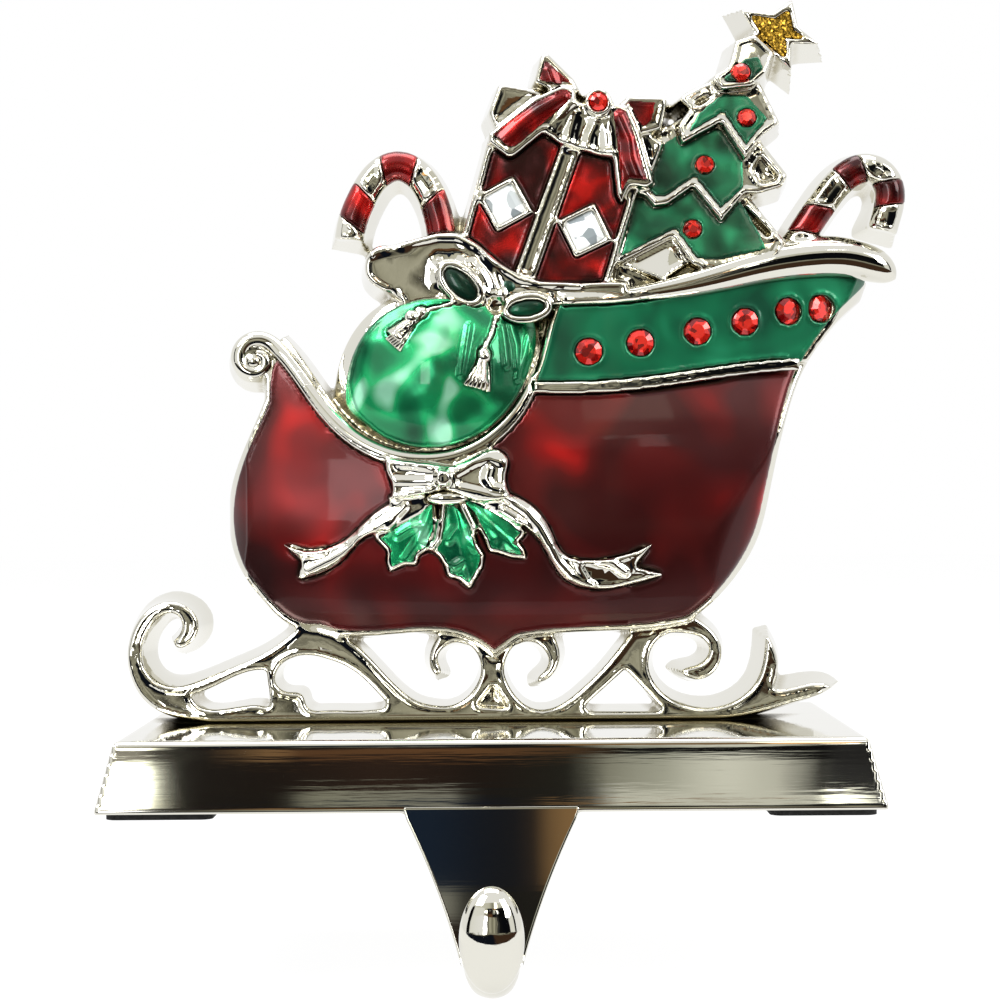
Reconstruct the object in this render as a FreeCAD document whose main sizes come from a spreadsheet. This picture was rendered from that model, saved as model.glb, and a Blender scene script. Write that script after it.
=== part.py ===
"""Mantel stocking holder: a plated relief casting of a sleigh with enamel fills and set stones,
screwed to a heavy flared base whose arm ends in a J hook. Millimetres, +Z up.

The origin is the mantel shelf's front top edge, at the middle of the holder: Z = 0 is the shelf's
top, Y = 0 its front face, and the room is on the -Y side.
"""
import FreeCAD, Part
import math
import os
import Sketcher
from FreeCAD import Placement, Rotation, Vector

doc = FreeCAD.newDocument("StockingHolder")

# Driving sizes. The outlines below are drawn at pattern size, and sleigh_length and
# sleigh_height stretch them to the size that is built.
SIZES = [
    ("base_length", 128.0, "skirt of the base, side to side"),
    ("base_depth", 74.0, "skirt of the base, front to back"),
    ("base_overhang", 4.8, "skirt in front of the shelf's face"),
    ("base_height", 11.5, "cast base, without the pads"),
    ("base_flare", 2.6, "skirt beyond the plate, each side"),
    ("base_edge_round", 1.2, "round on the plate's top edge"),
    ("base_wall", 4.0, "walls round the hollow under the base"),
    ("base_roof", 3.5, "plate above the hollow"),
    ("base_land", 21.5, "solid end of the base that a pad sticks to"),
    ("pad_length", 17.5, "pad, along the shelf"),
    ("pad_depth", 66.0, "pad, front to back"),
    ("pad_height", 1.5, "pad, squeezed height"),
    ("pad_inset", 1.0, "pad inside the skirt's end"),
    ("pad_front", 0.6, "pad behind the shelf's edge"),
    ("pad_corner", 2.0, "round on the pad's corners"),
    ("arm_width", 28.2, "arm where it leaves the skirt"),
    ("arm_taper_drop", 20.5, "height that the arm would narrow over, down to the bend"),
    ("arm_thickness", 4.2, "arm's plate"),
    ("hook_bend_radius", 8.0, "middle line of the hook's bend"),
    ("hook_bend_drop", 17.5, "middle of the bend below the skirt"),
    ("knob_width", 10.2, "oval tip of the hook, side to side"),
    ("knob_height", 16.6, "oval tip of the hook, upright"),
    ("knob_thickness", 7.0, "oval tip of the hook, front to back"),
    ("sleigh_length", 134.3, "from the front scroll to the back of the rail"),
    ("sleigh_height", 125.5, "from the plate to the tip of the star"),
    ("sleigh_setback", 32.6, "front of the runner behind the plate's front edge"),
    ("casting_depth", 11.0, "thickness of the relief casting at the runner"),
    ("draft_spread", 1.5, "how far the walls spread from front to back"),
    ("window_draft", 0.6, "how far a window closes from front to back"),
    ("curl_draft", 1.3, "how far a curl or a cane's web spreads from front to back"),
    ("hull_bulge", 6.0, "belly of the sleigh in front of the runner"),
    ("hull_upright_radius", 70.0, "belly's curve from keel to rim"),
    ("hull_level_radius", 260.0, "belly's curve from end to end"),
    ("hull_front_radius", 14.0, "roll of the belly's end under the swan neck"),
    ("hull_back_radius", 20.0, "roll of the belly's end under the flared back"),
    ("hull_end_bulge", 5.2, "rolled ends in front of the runner"),
    ("band_bulge", 4.2, "green band in front of the runner"),
    ("rim_radius", 1.5, "half the width of the rim along the swan neck"),
    ("rim_rise", 1.4, "swan neck's rim above the belly"),
    ("border_radius", 1.1, "half the width of the border under the green band"),
    ("rail_radius", 2.5, "rolled rail at its widest"),
    ("rail_end_radius", 2.9, "round end of the rail"),
    ("scroll_radius", 3.8, "knob of the swan neck"),
    ("hem_radius", 0.7, "rolled hem of the sack's mouth"),
    ("sack_bulge", 9.0, "sack in front of the runner"),
    ("sack_radius", 24.0, "curve of the sack's belly"),
    ("mouth_bulge", 5.0, "mouth of the sack in front of the runner"),
    ("cord_radius", 0.65, "cord of the sack"),
    ("gift_bulge", 3.0, "gift in front of the runner"),
    ("ribbon_bulge", 1.2, "ribbon and frames above the gift"),
    ("bow_bulge", 6.0, "bow of the gift in front of the runner"),
    ("tree_bulge", 3.6, "hem of the lowest tier in front of the runner"),
    ("tier_slope", 11.0, "degrees that a tier leans back"),
    ("star_bulge", 2.0, "star in front of the runner"),
    ("cane_radius", 2.65, "candy cane"),
    ("cane_bulge", 1.0, "front of a cane in front of the runner"),
    ("leaf_rise", 1.9, "holly above the belly"),
    ("small_bow_rise", 3.4, "small bow above the belly"),
    ("tail_rise", 2.4, "tails of the small bow above the belly"),
    ("enamel_thickness", 0.9, "poured enamel"),
    ("enamel_margin", 1.0, "bare metal outside an enamel field"),
    ("hull_margin", 0.35, "bare metal outside the belly's enamel"),
    ("stone_radius", 2.3, "round stone of the band"),
    ("small_stone_radius", 1.5, "round stone of the tree and the gift's bow"),
    ("stone_height", 1.5, "stone from its flat back to its table"),
    ("stone_seat", 0.8, "depth of a stone's seat"),
    ("stone_clearance", 0.04, "gap round a stone in its seat"),
    ("square_stone_side", 5.4, "square stone of the gift"),
    ("stud_radius", 2.7, "cast stud under the runner"),
    ("stud_clearance", 0.15, "gap round a stud in the plate"),
    ("stud_spread", 54.0, "between the two studs"),
    ("screw_radius", 1.5, "shank of a hidden screw"),
    ("screw_head_radius", 3.8, "head of a hidden screw"),
    ("screw_head_height", 2.4, "head of a hidden screw"),
    ("screw_clearance", 0.05, "gap round the shank"),
    ("screw_top", 0.9, "screw's end above the plate"),
]

sheet = doc.addObject("Spreadsheet::Sheet", "Sizes")
for row, (alias, value, meaning) in enumerate(SIZES, start=1):
    sheet.set(f"A{row}", meaning)
    sheet.set(f"B{row}", str(value))
    sheet.setAlias(f"B{row}", alias)
doc.recompute()


def size(alias):
    return float(sheet.get(alias))


# Pattern size of the drawn outlines: X from the middle, H above the plate.
PATTERN_LENGTH = 134.3
PATTERN_HEIGHT = 125.5

PLATE_TOP = size("pad_height") + size("base_height")
PLATE_FRONT = size("base_flare") - size("base_overhang")
RELIEF_FRONT = PLATE_FRONT + size("sleigh_setback")


def across(x):
    return x * size("sleigh_length") / PATTERN_LENGTH


def up(rise):
    return PLATE_TOP + rise * size("sleigh_height") / PATTERN_HEIGHT


def at(x, rise, bulge=0.0):
    """A point of the pattern, this far in front of the runner's face."""
    return Vector(across(x), RELIEF_FRONT - bulge, up(rise))


def feature(label, shape):
    made = doc.addObject("Part::Feature", label)
    made.Label = label
    made.Shape = shape
    return made


# Outlines. An outline is a list of stretches, each a smooth curve through its points up to the
# first point of the next one. A stretch of one point is a straight line.


def corners(outline):
    return [point for stretch in outline for point in stretch]


def grown(outline, distance):
    """The outline with every point moved outwards, as draft or a bare margin moves it."""
    ring = corners(outline)
    count = len(ring)
    area = sum(
        ring[i][0] * ring[(i + 1) % count][1] - ring[(i + 1) % count][0] * ring[i][1]
        for i in range(count)
    )
    side = math.copysign(1.0, area)
    sharpest = 0.55
    moved = []
    for i, (x, rise) in enumerate(ring):
        before, after = ring[i - 1], ring[(i + 1) % count]
        into = Vector(x - before[0], rise - before[1], 0).normalize()
        out = Vector(after[0] - x, after[1] - rise, 0).normalize()
        normal = Vector(into.y + out.y, -into.x - out.x, 0)
        normal = normal.normalize() if normal.Length > 0.05 else into
        half_turn = max(sharpest, normal.dot(Vector(into.y, -into.x, 0)))
        shift = side * distance / half_turn
        moved.append((x + normal.x * shift, rise + normal.y * shift))
    result, used = [], 0
    for stretch in outline:
        result.append(moved[used : used + len(stretch)])
        used += len(stretch)
    return result


def curve_through(points, closed=False):
    if len(points) == 2:
        return Part.makeLine(points[0], points[1])
    curve = Part.BSplineCurve()
    curve.interpolate(Points=points, PeriodicFlag=closed)
    return curve.toShape()


def wire_of(outline, bulge, distance=0.0):
    stretches = grown(outline, distance) if distance else outline
    if len(stretches) == 1:
        return Part.Wire([curve_through([at(x, h, bulge) for x, h in stretches[0]], True)])
    edges = []
    for stretch, following in zip(stretches, stretches[1:] + stretches[:1]):
        points = [at(x, h, bulge) for x, h in stretch + following[:1]]
        edges.append(curve_through(points))
    return Part.Wire(edges)


def polygon(*points):
    return [[point] for point in points]


def strip(points, half_width):
    """The outline of a band of even width along a line."""
    left, right = [], []
    for i, (x, rise) in enumerate(points):
        before, after = points[max(i - 1, 0)], points[min(i + 1, len(points) - 1)]
        along = Vector(after[0] - before[0], after[1] - before[1], 0).normalize() * half_width
        left.append((x - along.y, rise + along.x))
        right.append((x + along.y, rise - along.x))
    right.reverse()
    return [left[:-1], left[-1:], right[:-1], right[-1:]]


def drafted(outline, bulge, spread=None, depth=None, margin=0.0):
    """A cast wall: the outline at its front, spreading towards the back of the casting."""
    spread = size("draft_spread") if spread is None else spread
    back = -size("casting_depth") if depth is None else bulge - depth
    front_wire = wire_of(outline, bulge, margin)
    back_wire = wire_of(outline, back, margin + spread)
    return Part.makeLoft([front_wire, back_wire], True, True)


def straight(outline, bulge, depth, margin=0.0):
    face = Part.Face(wire_of(outline, bulge, margin))
    return face.extrude(Vector(0, depth, 0))


def fused(shapes):
    return shapes[0].multiFuse(shapes[1:]) if len(shapes) > 1 else shapes[0]


def tube(points, radius):
    """A round bead or cord along a smooth line through the points."""
    path = Part.Wire([curve_through(points)])
    start = points[0]
    heading = path.Edges[0].tangentAt(path.Edges[0].FirstParameter)
    section = Part.Wire([Part.makeCircle(radius, start, heading)])
    return path.makePipeShell([section], True, False)


def ball(x, rise, bulge, radius):
    return Part.makeSphere(radius, at(x, rise, bulge))


def cone_between(start, end, start_radius, end_radius):
    axis = end - start
    return Part.makeCone(start_radius, end_radius, axis.Length, start, axis)


# Runner: one openwork scroll plate. The windows are drafted holes, and each inner curl is a
# strip of its own that grows into its window.
RUNNER = [
    [(-33, 19), (-33.3, 17.4), (-35, 15.5), (-40, 12), (-45, 9.8), (-52, 7), (-55, 6.3),
     (-58, 6.8), (-60, 8.4), (-61.1, 10.6), (-61.2, 13.5), (-60.3, 16), (-58.5, 18.4),
     (-56.5, 19.4), (-54.7, 18.8), (-54, 17.5), (-54.2, 16)],
    [(-55.6, 14.4), (-54.8, 13.2), (-53, 13.8), (-51.7, 15.2), (-51.2, 17), (-51.8, 19),
     (-53.4, 20.5), (-56, 21.3), (-60, 20), (-62.4, 17), (-63.7, 12), (-63, 7.8),
     (-60.6, 3.8), (-57, 1.6), (-53, 0.7)],
    [(-49, 0)],
    [(38, 0), (44, 0.6), (48, 1.5), (53, 3), (58, 4.5)],
    [(59.7, 5.5), (58, 6.2), (55, 6)],
    [(49.2, 5.2), (50.1, 8), (50.2, 10.5), (49.6, 12.5)],
    [(48.6, 14.4)],
    [(48.2, 14.3), (47.8, 10.2), (47, 7.5), (45, 4.7), (42, 2.8), (38, 1.9), (34.5, 2.3),
     (31.5, 3.5), (29, 5.7), (27.6, 8.6), (27.7, 11.5), (29.3, 14.2), (32, 15.4)],
    [(35, 15.2)],
    [(35.2, 19)],
]
WINDOWS = [
    [[(-52.7, 5), (-47, 7.2), (-41.4, 9.2)], [(-39.4, 9.2), (-39, 6)], [(-38.7, 3)],
     [(-39.4, 2.6), (-45, 2.6), (-51.4, 3)]],
    [[(-37.9, 8), (-37, 10), (-35, 11.3), (-32, 11.8), (-29, 11.2), (-25, 9.6), (-22, 7.3),
      (-20, 5.2)], [(-18.4, 3.4)], [(-18.9, 2.2), (-24, 1.9), (-29, 2), (-32, 2.3)],
     [(-32.7, 3.8), (-34.2, 5.2), (-36, 5.3), (-37.4, 6.2)]],
    [[(-25.5, 16)], [(-25, 14.4), (-20, 9.8), (-16, 5.6), (-13, 3.5), (-10, 2.7), (-7, 2.7),
      (-4.7, 3.8), (-2.6, 6.2), (-1.7, 9.2), (-2.4, 11.8), (-4, 13.6)], [(-6, 15.2)]],
    [[(5.5, 15.2)], [(4.2, 13.4), (2.8, 11.4), (2.2, 9), (3.2, 5.8), (5, 3.4), (7.4, 2),
      (10.4, 2), (13, 3.2), (16, 5.6), (19.5, 9), (22.5, 12.6)],
     [(25.2, 16.2)]],
    [[(23.5, 9)], [(16.3, 2.6)], [(17, 1.5)], [(29.4, 1.4)], [(29.9, 2.1)]],
]
CURLS = [
    [[(-4.4, 15.6)], [(-8.6, 15.6), (-10.2, 13.2), (-10.8, 11), (-10.4, 9)],
     [(-9.6, 8.1), (-8.8, 8.8), (-9.4, 10.4), (-9.2, 11.9), (-8, 13.2), (-6, 13.9),
      (-4.2, 13.4)]],
    [[(4.6, 15.6)], [(4.6, 13.3), (6.5, 13.9), (8.5, 13.3), (9.8, 11.8), (10.2, 10.2),
      (9.4, 8.6), (8.3, 7.6)], [(8.2, 6.8), (9.8, 7.3), (11.3, 8.9), (12, 11), (11.6, 13.5),
      (10.2, 15.6)]],
    [[(32, 18.5)], [(31.5, 15.3), (35, 15.1), (37.2, 14.2), (38.3, 12.4), (37.8, 10.7),
      (36.6, 9.6), (34.4, 9)], [(33.3, 8.4), (34.6, 7.4), (36.8, 7.1), (38.9, 8.2),
      (40.2, 10.5), (40.3, 12.7), (39.5, 14.7), (38, 16.3), (36.2, 17.6), (34.6, 18.5)]],
]
RECESS = polygon((0.3, 6.6), (-2.7, 2.6), (3.1, 2.1))

# Hull: the belly's outline, with the swan neck on the left and the flared back on the right.
HULL = [
    [(-38.8, 56.3), (-40.6, 52), (-42.8, 47), (-44.6, 42), (-45.4, 37), (-45, 32), (-43.2, 27),
     (-40, 22.5), (-35.5, 18)],
    [(-30, 16.8), (-18, 15.8), (-4.5, 15.3)],
    [(0.5, 12)],
    [(4.5, 15), (14, 16), (25, 16.4)],
    [(34.5, 17.8), (40, 22.5), (44, 27.5), (46.6, 32.5), (48.3, 39), (50.2, 48), (52.4, 56),
     (54.6, 61.5), (57.4, 66), (61.5, 71), (66, 75.2)],
    [(69.5, 78.6)],
    [(68, 80.5), (58, 81), (46, 79.2), (34, 76), (24, 74), (13, 74)],
    [(11.6, 71.6), (10.2, 67), (8.6, 61.4), (6.6, 57), (4.4, 53.4), (1.5, 50), (-3, 47.1),
     (-9, 45.6), (-16, 45.8), (-21, 47.4), (-25.6, 50.6), (-29.6, 55.6), (-33, 60.6), (-36, 64)],
]
BAND_ZONE = [[(-2, 58), (10, 58), (22, 58.4), (32, 59.4), (42, 60.8), (52, 62.2), (62, 63.4)],
             [(90, 66)], [(90, 100)], [(-2, 100)]]
NECK_RIM = [(-37.4, 65.6), (-33.6, 61.2), (-30, 56), (-26.6, 51.8), (-22, 48.2), (-16, 45.8),
            (-9, 45.4), (-3, 47), (1.6, 50.2), (5, 54), (7.2, 58), (8.8, 62.4), (10.1, 67.4),
            (12, 72.8)]
BORDER = [(7.6, 58.2), (14, 58.1), (22, 58.4), (31, 59.4), (40, 60.7), (48, 61.7),
          (54.6, 62.2)]
RAIL = [(12.6, 73.4, 0.5), (22, 73.7, 0.5), (32, 75.4, 0.56), (42, 78.6, 0.74),
        (52, 81.2, 0.92), (60, 82.2, 1.0), (66.2, 80.8, 0.96)]
RAIL_END = (67.2, 79.6)
LEFT_ROLL = ((-32.5, 10.0), (-32.5, 76.0))
RIGHT_ROLL = ((22.0, 10.0), (49.6, 84.0))
BELLY_MIDDLE = (3.0, 38.0)
SCROLL_AT = (-41.5, 63.4)

# Sack: a round belly gathered at a cord, and the mouth above it.
SACK = [[(-26.4, 56), (-25.9, 61), (-24.2, 66), (-20.8, 70.6), (-16.2, 73.6), (-11, 74.9),
         (-4, 74.6), (3.5, 73.6), (8.6, 71.4), (9.6, 68), (8.4, 61), (5.4, 55), (0.6, 50),
         (-5, 47.2), (-11, 46.4), (-18, 48), (-23.6, 52)]]
SACK_MIDDLE = (-8.0, 60.5)
MOUTH = [
    [(-14.4, 72), (-16.2, 74.2), (-19.2, 75.7), (-21, 77.4), (-21.3, 79.8), (-20.3, 82),
     (-18.2, 82.9)],
    [(-16.2, 82.2), (-12, 84), (-8.6, 84.9), (-5.4, 84.9), (-2, 83.2), (2, 79.6), (5.6, 77.2),
     (9, 76.3)],
    [(24, 76.2)],
    [(24, 73.8)],
    [(8, 72)],
    [(2, 69.5)],
]
KNOT = (1.3, 72.4)
HEM = [(-20.4, 81.2), (-17.4, 82), (-12, 83.5), (-8.6, 84.3), (-5.4, 84.2), (-2.2, 82.6),
       (1.6, 79.3), (5.4, 76.9), (9, 75.9), (16, 75.6)]
GATHER_ENDS = [(-12.6, 77.4), (-9.4, 80.6), (-5.2, 81), (-1.6, 78.6), (3.2, 75.4)]
LEFT_LOOP = ((-4.8, 76.0), 4.3, 2.4, -45.0)
RIGHT_LOOP = ((6.6, 71.8), 3.9, 2.0, 8.0)
LEFT_CORD = [(0.5, 72.2), (-3, 72.6), (-6, 72.5), (-9.5, 71.7), (-11.6, 70.9)]
RIGHT_CORD = [(1.4, 71.6), (1.2, 70), (0.5, 67.5), (-0.5, 65.5), (-0.9, 63.8)]
TASSELS = [((-11.6, 70.9), (-16.2, 66.4)), ((-0.9, 63.8), (-1.9, 58.6))]

# Gift: a leaning box with edge bars, a middle ribbon, two framed stones and a large bow.
GIFT = polygon((-5.6, 80.5), (0.2, 101), (10, 104), (22, 103), (26.3, 96), (21, 74.6), (2, 74.6))
GIFT_BARS = [
    polygon((-5.2, 82), (0, 101), (1.1, 100), (-4, 82)),
    polygon((3.9, 76.4), (12.8, 100.5), (16.4, 99.6), (7.9, 76.2)),
    polygon((19.6, 75.6), (24.8, 92.6), (26, 92), (20.9, 75.6)),
]
FRAMES = [((3.0, 90.0), 28.5), ((16.8, 85.3), 25.5)]
FRAME_BAR = 0.9
BOW_LEFT_TAIL = polygon((15, 109.6), (13, 110.2), (8, 108), (0.3, 102), (0.2, 100.6), (3.6, 98),
                        (4.6, 98.2), (9.8, 102.4), (15.4, 107.4))
BOW_LEFT_BOX = polygon((0.2, 105.8), (2, 110.6), (3, 110.8), (9.4, 109.6), (9.6, 107.4),
                       (3.2, 102.8), (1.2, 103.2))
BOW_TOP_LOOP = polygon((8.2, 111), (9.4, 115.6), (10.4, 116), (15, 111.4), (16, 109.4),
                       (14, 108.4))
BOW_DRAPE = polygon((9.4, 102.4), (14.6, 108.4), (17, 106.6), (21.6, 106.4), (22.4, 97.9),
                    (20.6, 97.9), (16.6, 99), (13, 100.1))
BOW_RIGHT_TAIL = polygon((20.9, 106), (22.5, 107), (24.4, 106.2), (26.2, 102), (28.6, 93.4),
                         (27.6, 92.6), (24.5, 93), (23.1, 90), (22.4, 91.4), (21.7, 98))
BOW_RIGHT_LOOP = polygon((22.8, 106.9), (24.4, 108.4), (31, 108.2), (31, 107), (30, 102.8),
                         (27, 102))
BOW_POINT = polygon((26.4, 102.8), (30.5, 100.6), (28.5, 95), (27.6, 96.4))
BOW_GEM = (19.2, 107.2)

# Tree: leaning tiers with zigzag hems, and the star on top.
TREE_FOOT = polygon((20.4, 74.6), (22.2, 80), (32.3, 85.4), (36.6, 80.6), (40, 76.4))
TIERS = [
    polygon((21.6, 79.2), (24.8, 93), (34, 95.4), (44.5, 92.2), (51.4, 83.4), (50, 80.6),
            (40, 78.4), (35.5, 79.4), (32.2, 84.6)),
    polygon((25.2, 92.2), (28, 101.5), (31, 103), (36, 106), (44, 104.6), (47.6, 100.6),
            (51.9, 94.9), (51, 93.1), (47, 91.9), (44.5, 92), (40.5, 87), (35.8, 93.4),
            (31, 90), (29, 89.8), (27.6, 91.6)),
    polygon((33.9, 100.6), (33.2, 103.4), (35.6, 106.4), (33.8, 108.2), (34.6, 109), (38.8, 111),
            (47.5, 110.4), (50.5, 104), (47.4, 101.6), (44.6, 97.7), (40.7, 104.4)),
    polygon((39.2, 111.6), (40.6, 109.6), (45.8, 110.2), (48.4, 112.6), (49.6, 116),
            (46.6, 119), (43.4, 118), (42, 113.4)),
]
TIER_HEM = [80.0, 88.0, 99.0, 110.0]
TIER_FIELDS = [
    polygon((23, 80.8), (25.6, 91.4), (34, 94.6), (43.8, 91.2), (47.4, 84.6), (48.4, 82),
            (40, 80), (36.3, 80.4), (32.6, 85.8)),
    polygon((27.2, 93), (29.4, 100), (33.8, 102.6), (38, 104.6), (43, 102), (44.6, 97),
            (44.6, 92.8), (40.4, 89), (36, 94.8), (30.8, 91.2), (29.3, 91.2)),
    polygon((34.6, 102), (36.6, 105.6), (41, 109.2), (45.2, 108.8), (48.8, 104.6), (47.2, 102.8),
            (44.8, 99.8), (41, 105.8)),
    polygon((40.8, 111.4), (41.6, 110.6), (46, 111.2), (48, 113.2), (47, 115.4), (44.6, 114.8),
            (42.6, 112.8)),
]
# The tiers' silver ends are hollow behind their edges.
TIER_HOLLOWS = [
    (polygon((44.6, 90.4), (49.6, 84.9), (48.9, 83.6), (43.4, 88.8)), 0),
    (polygon((47.5, 99.1), (50.9, 94.8), (50.2, 93.8), (47.4, 93.2), (45.7, 96)), 1),
    (polygon((35.2, 107.6), (39.4, 109.9), (40, 108.8), (36.8, 106.6)), 2),
]
FOOT_RIDGE = (30.2, 76.6)
STAR = polygon((53.3, 125.5), (50, 123.2), (44.3, 124), (46.7, 120), (44, 117.2), (48.3, 117.4),
               (53.1, 113.3), (53, 118), (58, 117.8), (54.3, 120.8))
TREE_STONES = [(35.6, 85.6, 0), (37.8, 96.8, 1), (45, 104.7, 2), (44, 112.4, 3)]

# Candy canes: a round bead along a hooked line, with slanting stripes.
CANES = {
    "cane_left": [(-24.4, 84.4), (-23.6, 88.4), (-21.5, 93), (-18.8, 96.4), (-15.6, 97.5),
                  (-12.4, 96), (-10.2, 92.8), (-8.8, 88.8), (-7.9, 83)],
    "cane_right": [(51.6, 79), (54.5, 84), (58.3, 89.7), (62, 94.4), (65.8, 96.5), (69, 95.6),
                   (70.6, 92.8), (70.4, 89.6), (69.2, 85.4)],
}
STRIPES = {
    "cane_left": [
        polygon((-28, 90.4), (-28, 97.8), (-23.3, 94.5), (-18.2, 89), (-18.2, 82.6)),
        polygon((-19.3, 101), (-17.2, 91), (-14.6, 91), (-11.6, 101)),
        polygon((-6.4, 94.6), (-13.6, 88.4), (-13.6, 84.8), (-4.4, 84.8)),
    ],
    "cane_right": [
        polygon((50.6, 86), (58.5, 84.8), (63.6, 88.6), (55, 90.4)),
        polygon((60, 97), (64.2, 92), (67.4, 92), (64.4, 100.6), (61, 100.6)),
        polygon((67, 93.6), (74.6, 94.9), (74.6, 90.4), (67, 89.5)),
    ],
}

# Small bow and holly on the belly.
BOW_LOOPS = [
    [[(-7, 44.6), (-12, 45.4)], [(-17.8, 46), (-17.4, 43), (-16.7, 40.6)],
     [(-17.9, 38.8), (-12, 39.6)], [(-7, 40.6)]],
    [[(-9, 44.4), (-5, 45.2), (-1.6, 46.8), (1, 47.4), (3.2, 45.6), (2.8, 43.2), (2.9, 41)],
     [(3.6, 39.6), (-1, 38.4), (-5, 39.4)], [(-9, 40.8)]],
]
BOW_KNOT = (-7.9, 42.5)
BOW_TAILS = [
    [[(-11, 39.4), (-16.4, 38.6), (-21, 35.6), (-25, 32), (-28, 30.6)], [(-36, 31.4)],
     [(-32.6, 28.4)], [(-33.4, 25.2), (-29, 26.4), (-25.4, 28.6), (-22, 32.2), (-19, 33.4),
      (-15, 35)], [(-10.4, 38)]],
    [[(-4, 40.2), (3.4, 39.8), (8, 37), (10.8, 32.6), (12.6, 29.4), (15, 28.4)], [(28, 31)],
     [(24.8, 27)], [(30.4, 25.6), (24, 23.9), (18, 23.2), (13.4, 24.6), (9.8, 29.4),
      (7.4, 33)], [(4, 35), (-1, 38)]],
]
LEAVES = [
    polygon((-9.2, 39), (-12.5, 38), (-16, 35), (-19.9, 32.4), (-17.7, 30), (-17.9, 28.3),
            (-17.4, 26.4), (-15, 27.5), (-12.7, 27.5), (-12.3, 29.2), (-10.5, 30.3),
            (-9.1, 33.5)),
    polygon((-8.3, 39), (-8.6, 35), (-9.2, 32), (-10.9, 30.4), (-8.9, 29.2), (-7.9, 27.5),
            (-7.3, 25.5), (-5.4, 25), (-3.5, 23.2), (-2.6, 25), (-1.3, 27.2), (-1, 29.2),
            (-2.3, 31.5), (-2.8, 35), (-4.5, 37), (-6.3, 39)),
    polygon((-6, 39.4), (-3, 36), (-1, 32), (-0.2, 29.8), (1.6, 29.5), (3.5, 28.8), (6.2, 28.4),
            (5.9, 30.3), (4.8, 31.5), (6.2, 33), (3.5, 35.5), (1, 37), (-2, 39)),
]

BAND_STONES = [(17.3, 64.3), (26.3, 65.8), (36.3, 67.8), (44.7, 69.5), (52.4, 71.4), (58.2, 71.9)]


# Forms that an outline is cut to. The belly is a patch of a wide ring's outer face, rolled
# back at its two ends; "extra" lifts the form, as enamel or a relief on it does.


def ring_patch(extra):
    middle_x, middle_rise = BELLY_MIDDLE
    centre = at(middle_x, middle_rise, size("hull_bulge") - size("hull_level_radius"))
    across_radius = size("hull_level_radius") - size("hull_upright_radius")
    return Part.makeTorus(across_radius, size("hull_upright_radius") + extra, centre)


def end_rolls():
    return (LEFT_ROLL, -1, size("hull_front_radius")), (RIGHT_ROLL, 1, size("hull_back_radius"))


def rolled_ends(extra):
    reach = 60.0
    rolls = []
    for (low, high), _, radius in end_rolls():
        axis_bulge = size("hull_end_bulge") - radius
        foot, head = at(*low, axis_bulge), at(*high, axis_bulge)
        rolls.append(Part.makeCylinder(radius + extra, (head - foot).Length, foot, head - foot))
    middle = polygon(LEFT_ROLL[0], LEFT_ROLL[1], RIGHT_ROLL[1], RIGHT_ROLL[0])
    rolls.append(straight(middle, reach / 2, reach))
    return fused(rolls)


def belly_form(extra=0.0):
    return rolled_ends(extra).common(ring_patch(extra))


def band_form(extra=0.0):
    radius = size("hull_level_radius") + extra
    centre = at(BELLY_MIDDLE[0], 0, size("band_bulge") - size("hull_level_radius"))
    drum = Part.makeCylinder(radius, 2 * PATTERN_HEIGHT, centre, Vector(0, 0, 1))
    return rolled_ends(extra).common(drum)


def roll_drop(x, rise):
    """How far an end roll has fallen back at this point of the pattern."""
    drop = 0.0
    for (low, high), side, radius in end_rolls():
        share = (rise - low[1]) / (high[1] - low[1])
        beyond = side * across(x - low[0] - share * (high[0] - low[0]))
        if beyond > 0:
            drop = radius - math.sqrt(max(radius**2 - beyond**2, 0.0))
    return drop


def belly_bulge(x, rise):
    level, upright = size("hull_level_radius"), size("hull_upright_radius")
    aside = across(x - BELLY_MIDDLE[0])
    above = up(rise) - up(BELLY_MIDDLE[1])
    reach = level - upright + math.sqrt(upright**2 - above**2)
    ring = size("hull_bulge") - level + math.sqrt(reach**2 - aside**2)
    return min(ring, size("hull_end_bulge") - roll_drop(x, rise))


def band_bulge(x, rise):
    level = size("hull_level_radius")
    aside = across(x - BELLY_MIDDLE[0])
    drum = size("band_bulge") - level + math.sqrt(level**2 - aside**2)
    return min(drum, size("hull_end_bulge") - roll_drop(x, rise))


def sack_form(extra=0.0):
    centre = at(*SACK_MIDDLE, size("sack_bulge") - size("sack_radius"))
    return Part.makeSphere(size("sack_radius") + extra, centre)


def leaning_form(bulge, rise, extra=0.0):
    """Everything behind a face that leans back from this bulge at this rise."""
    reach = 150.0
    block = Part.makeBox(2 * reach, reach, 2 * reach, Vector(-reach, 0, -reach))
    turn = Rotation(Vector(1, 0, 0), -size("tier_slope"))
    return block.transformed(Placement(at(0, rise, bulge + extra), turn).toMatrix())


# Casting: the runner.


def make_runner():
    """The scroll plate, with a flat foot that stands on the base's plate."""
    plate = drafted(RUNNER, 0.0)
    reach = 2 * PATTERN_LENGTH
    below = Part.makeBox(reach, reach, reach, Vector(-reach / 2, 0, PLATE_TOP - reach))
    overshoot = 0.5
    through = size("casting_depth") + 2 * overshoot
    windows = [drafted(outline, overshoot, -size("window_draft"), through) for outline in WINDOWS]
    curls = [drafted(outline, 0.0, size("curl_draft")) for outline in CURLS]
    dimple_depth = 1.5
    windows.append(straight(RECESS, overshoot, overshoot + dimple_depth))
    return fused([plate.cut(windows + [below])] + curls)


# Casting: the hull with its rims.


def hull_form(extra=0.0):
    """The belly below the border, and the flatter band above it."""
    high = size("band_bulge") + extra + 1
    zone = straight(BAND_ZONE, high, high + size("casting_depth") + 1)
    return belly_form(extra).fuse(band_form(extra).common(zone))


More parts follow.
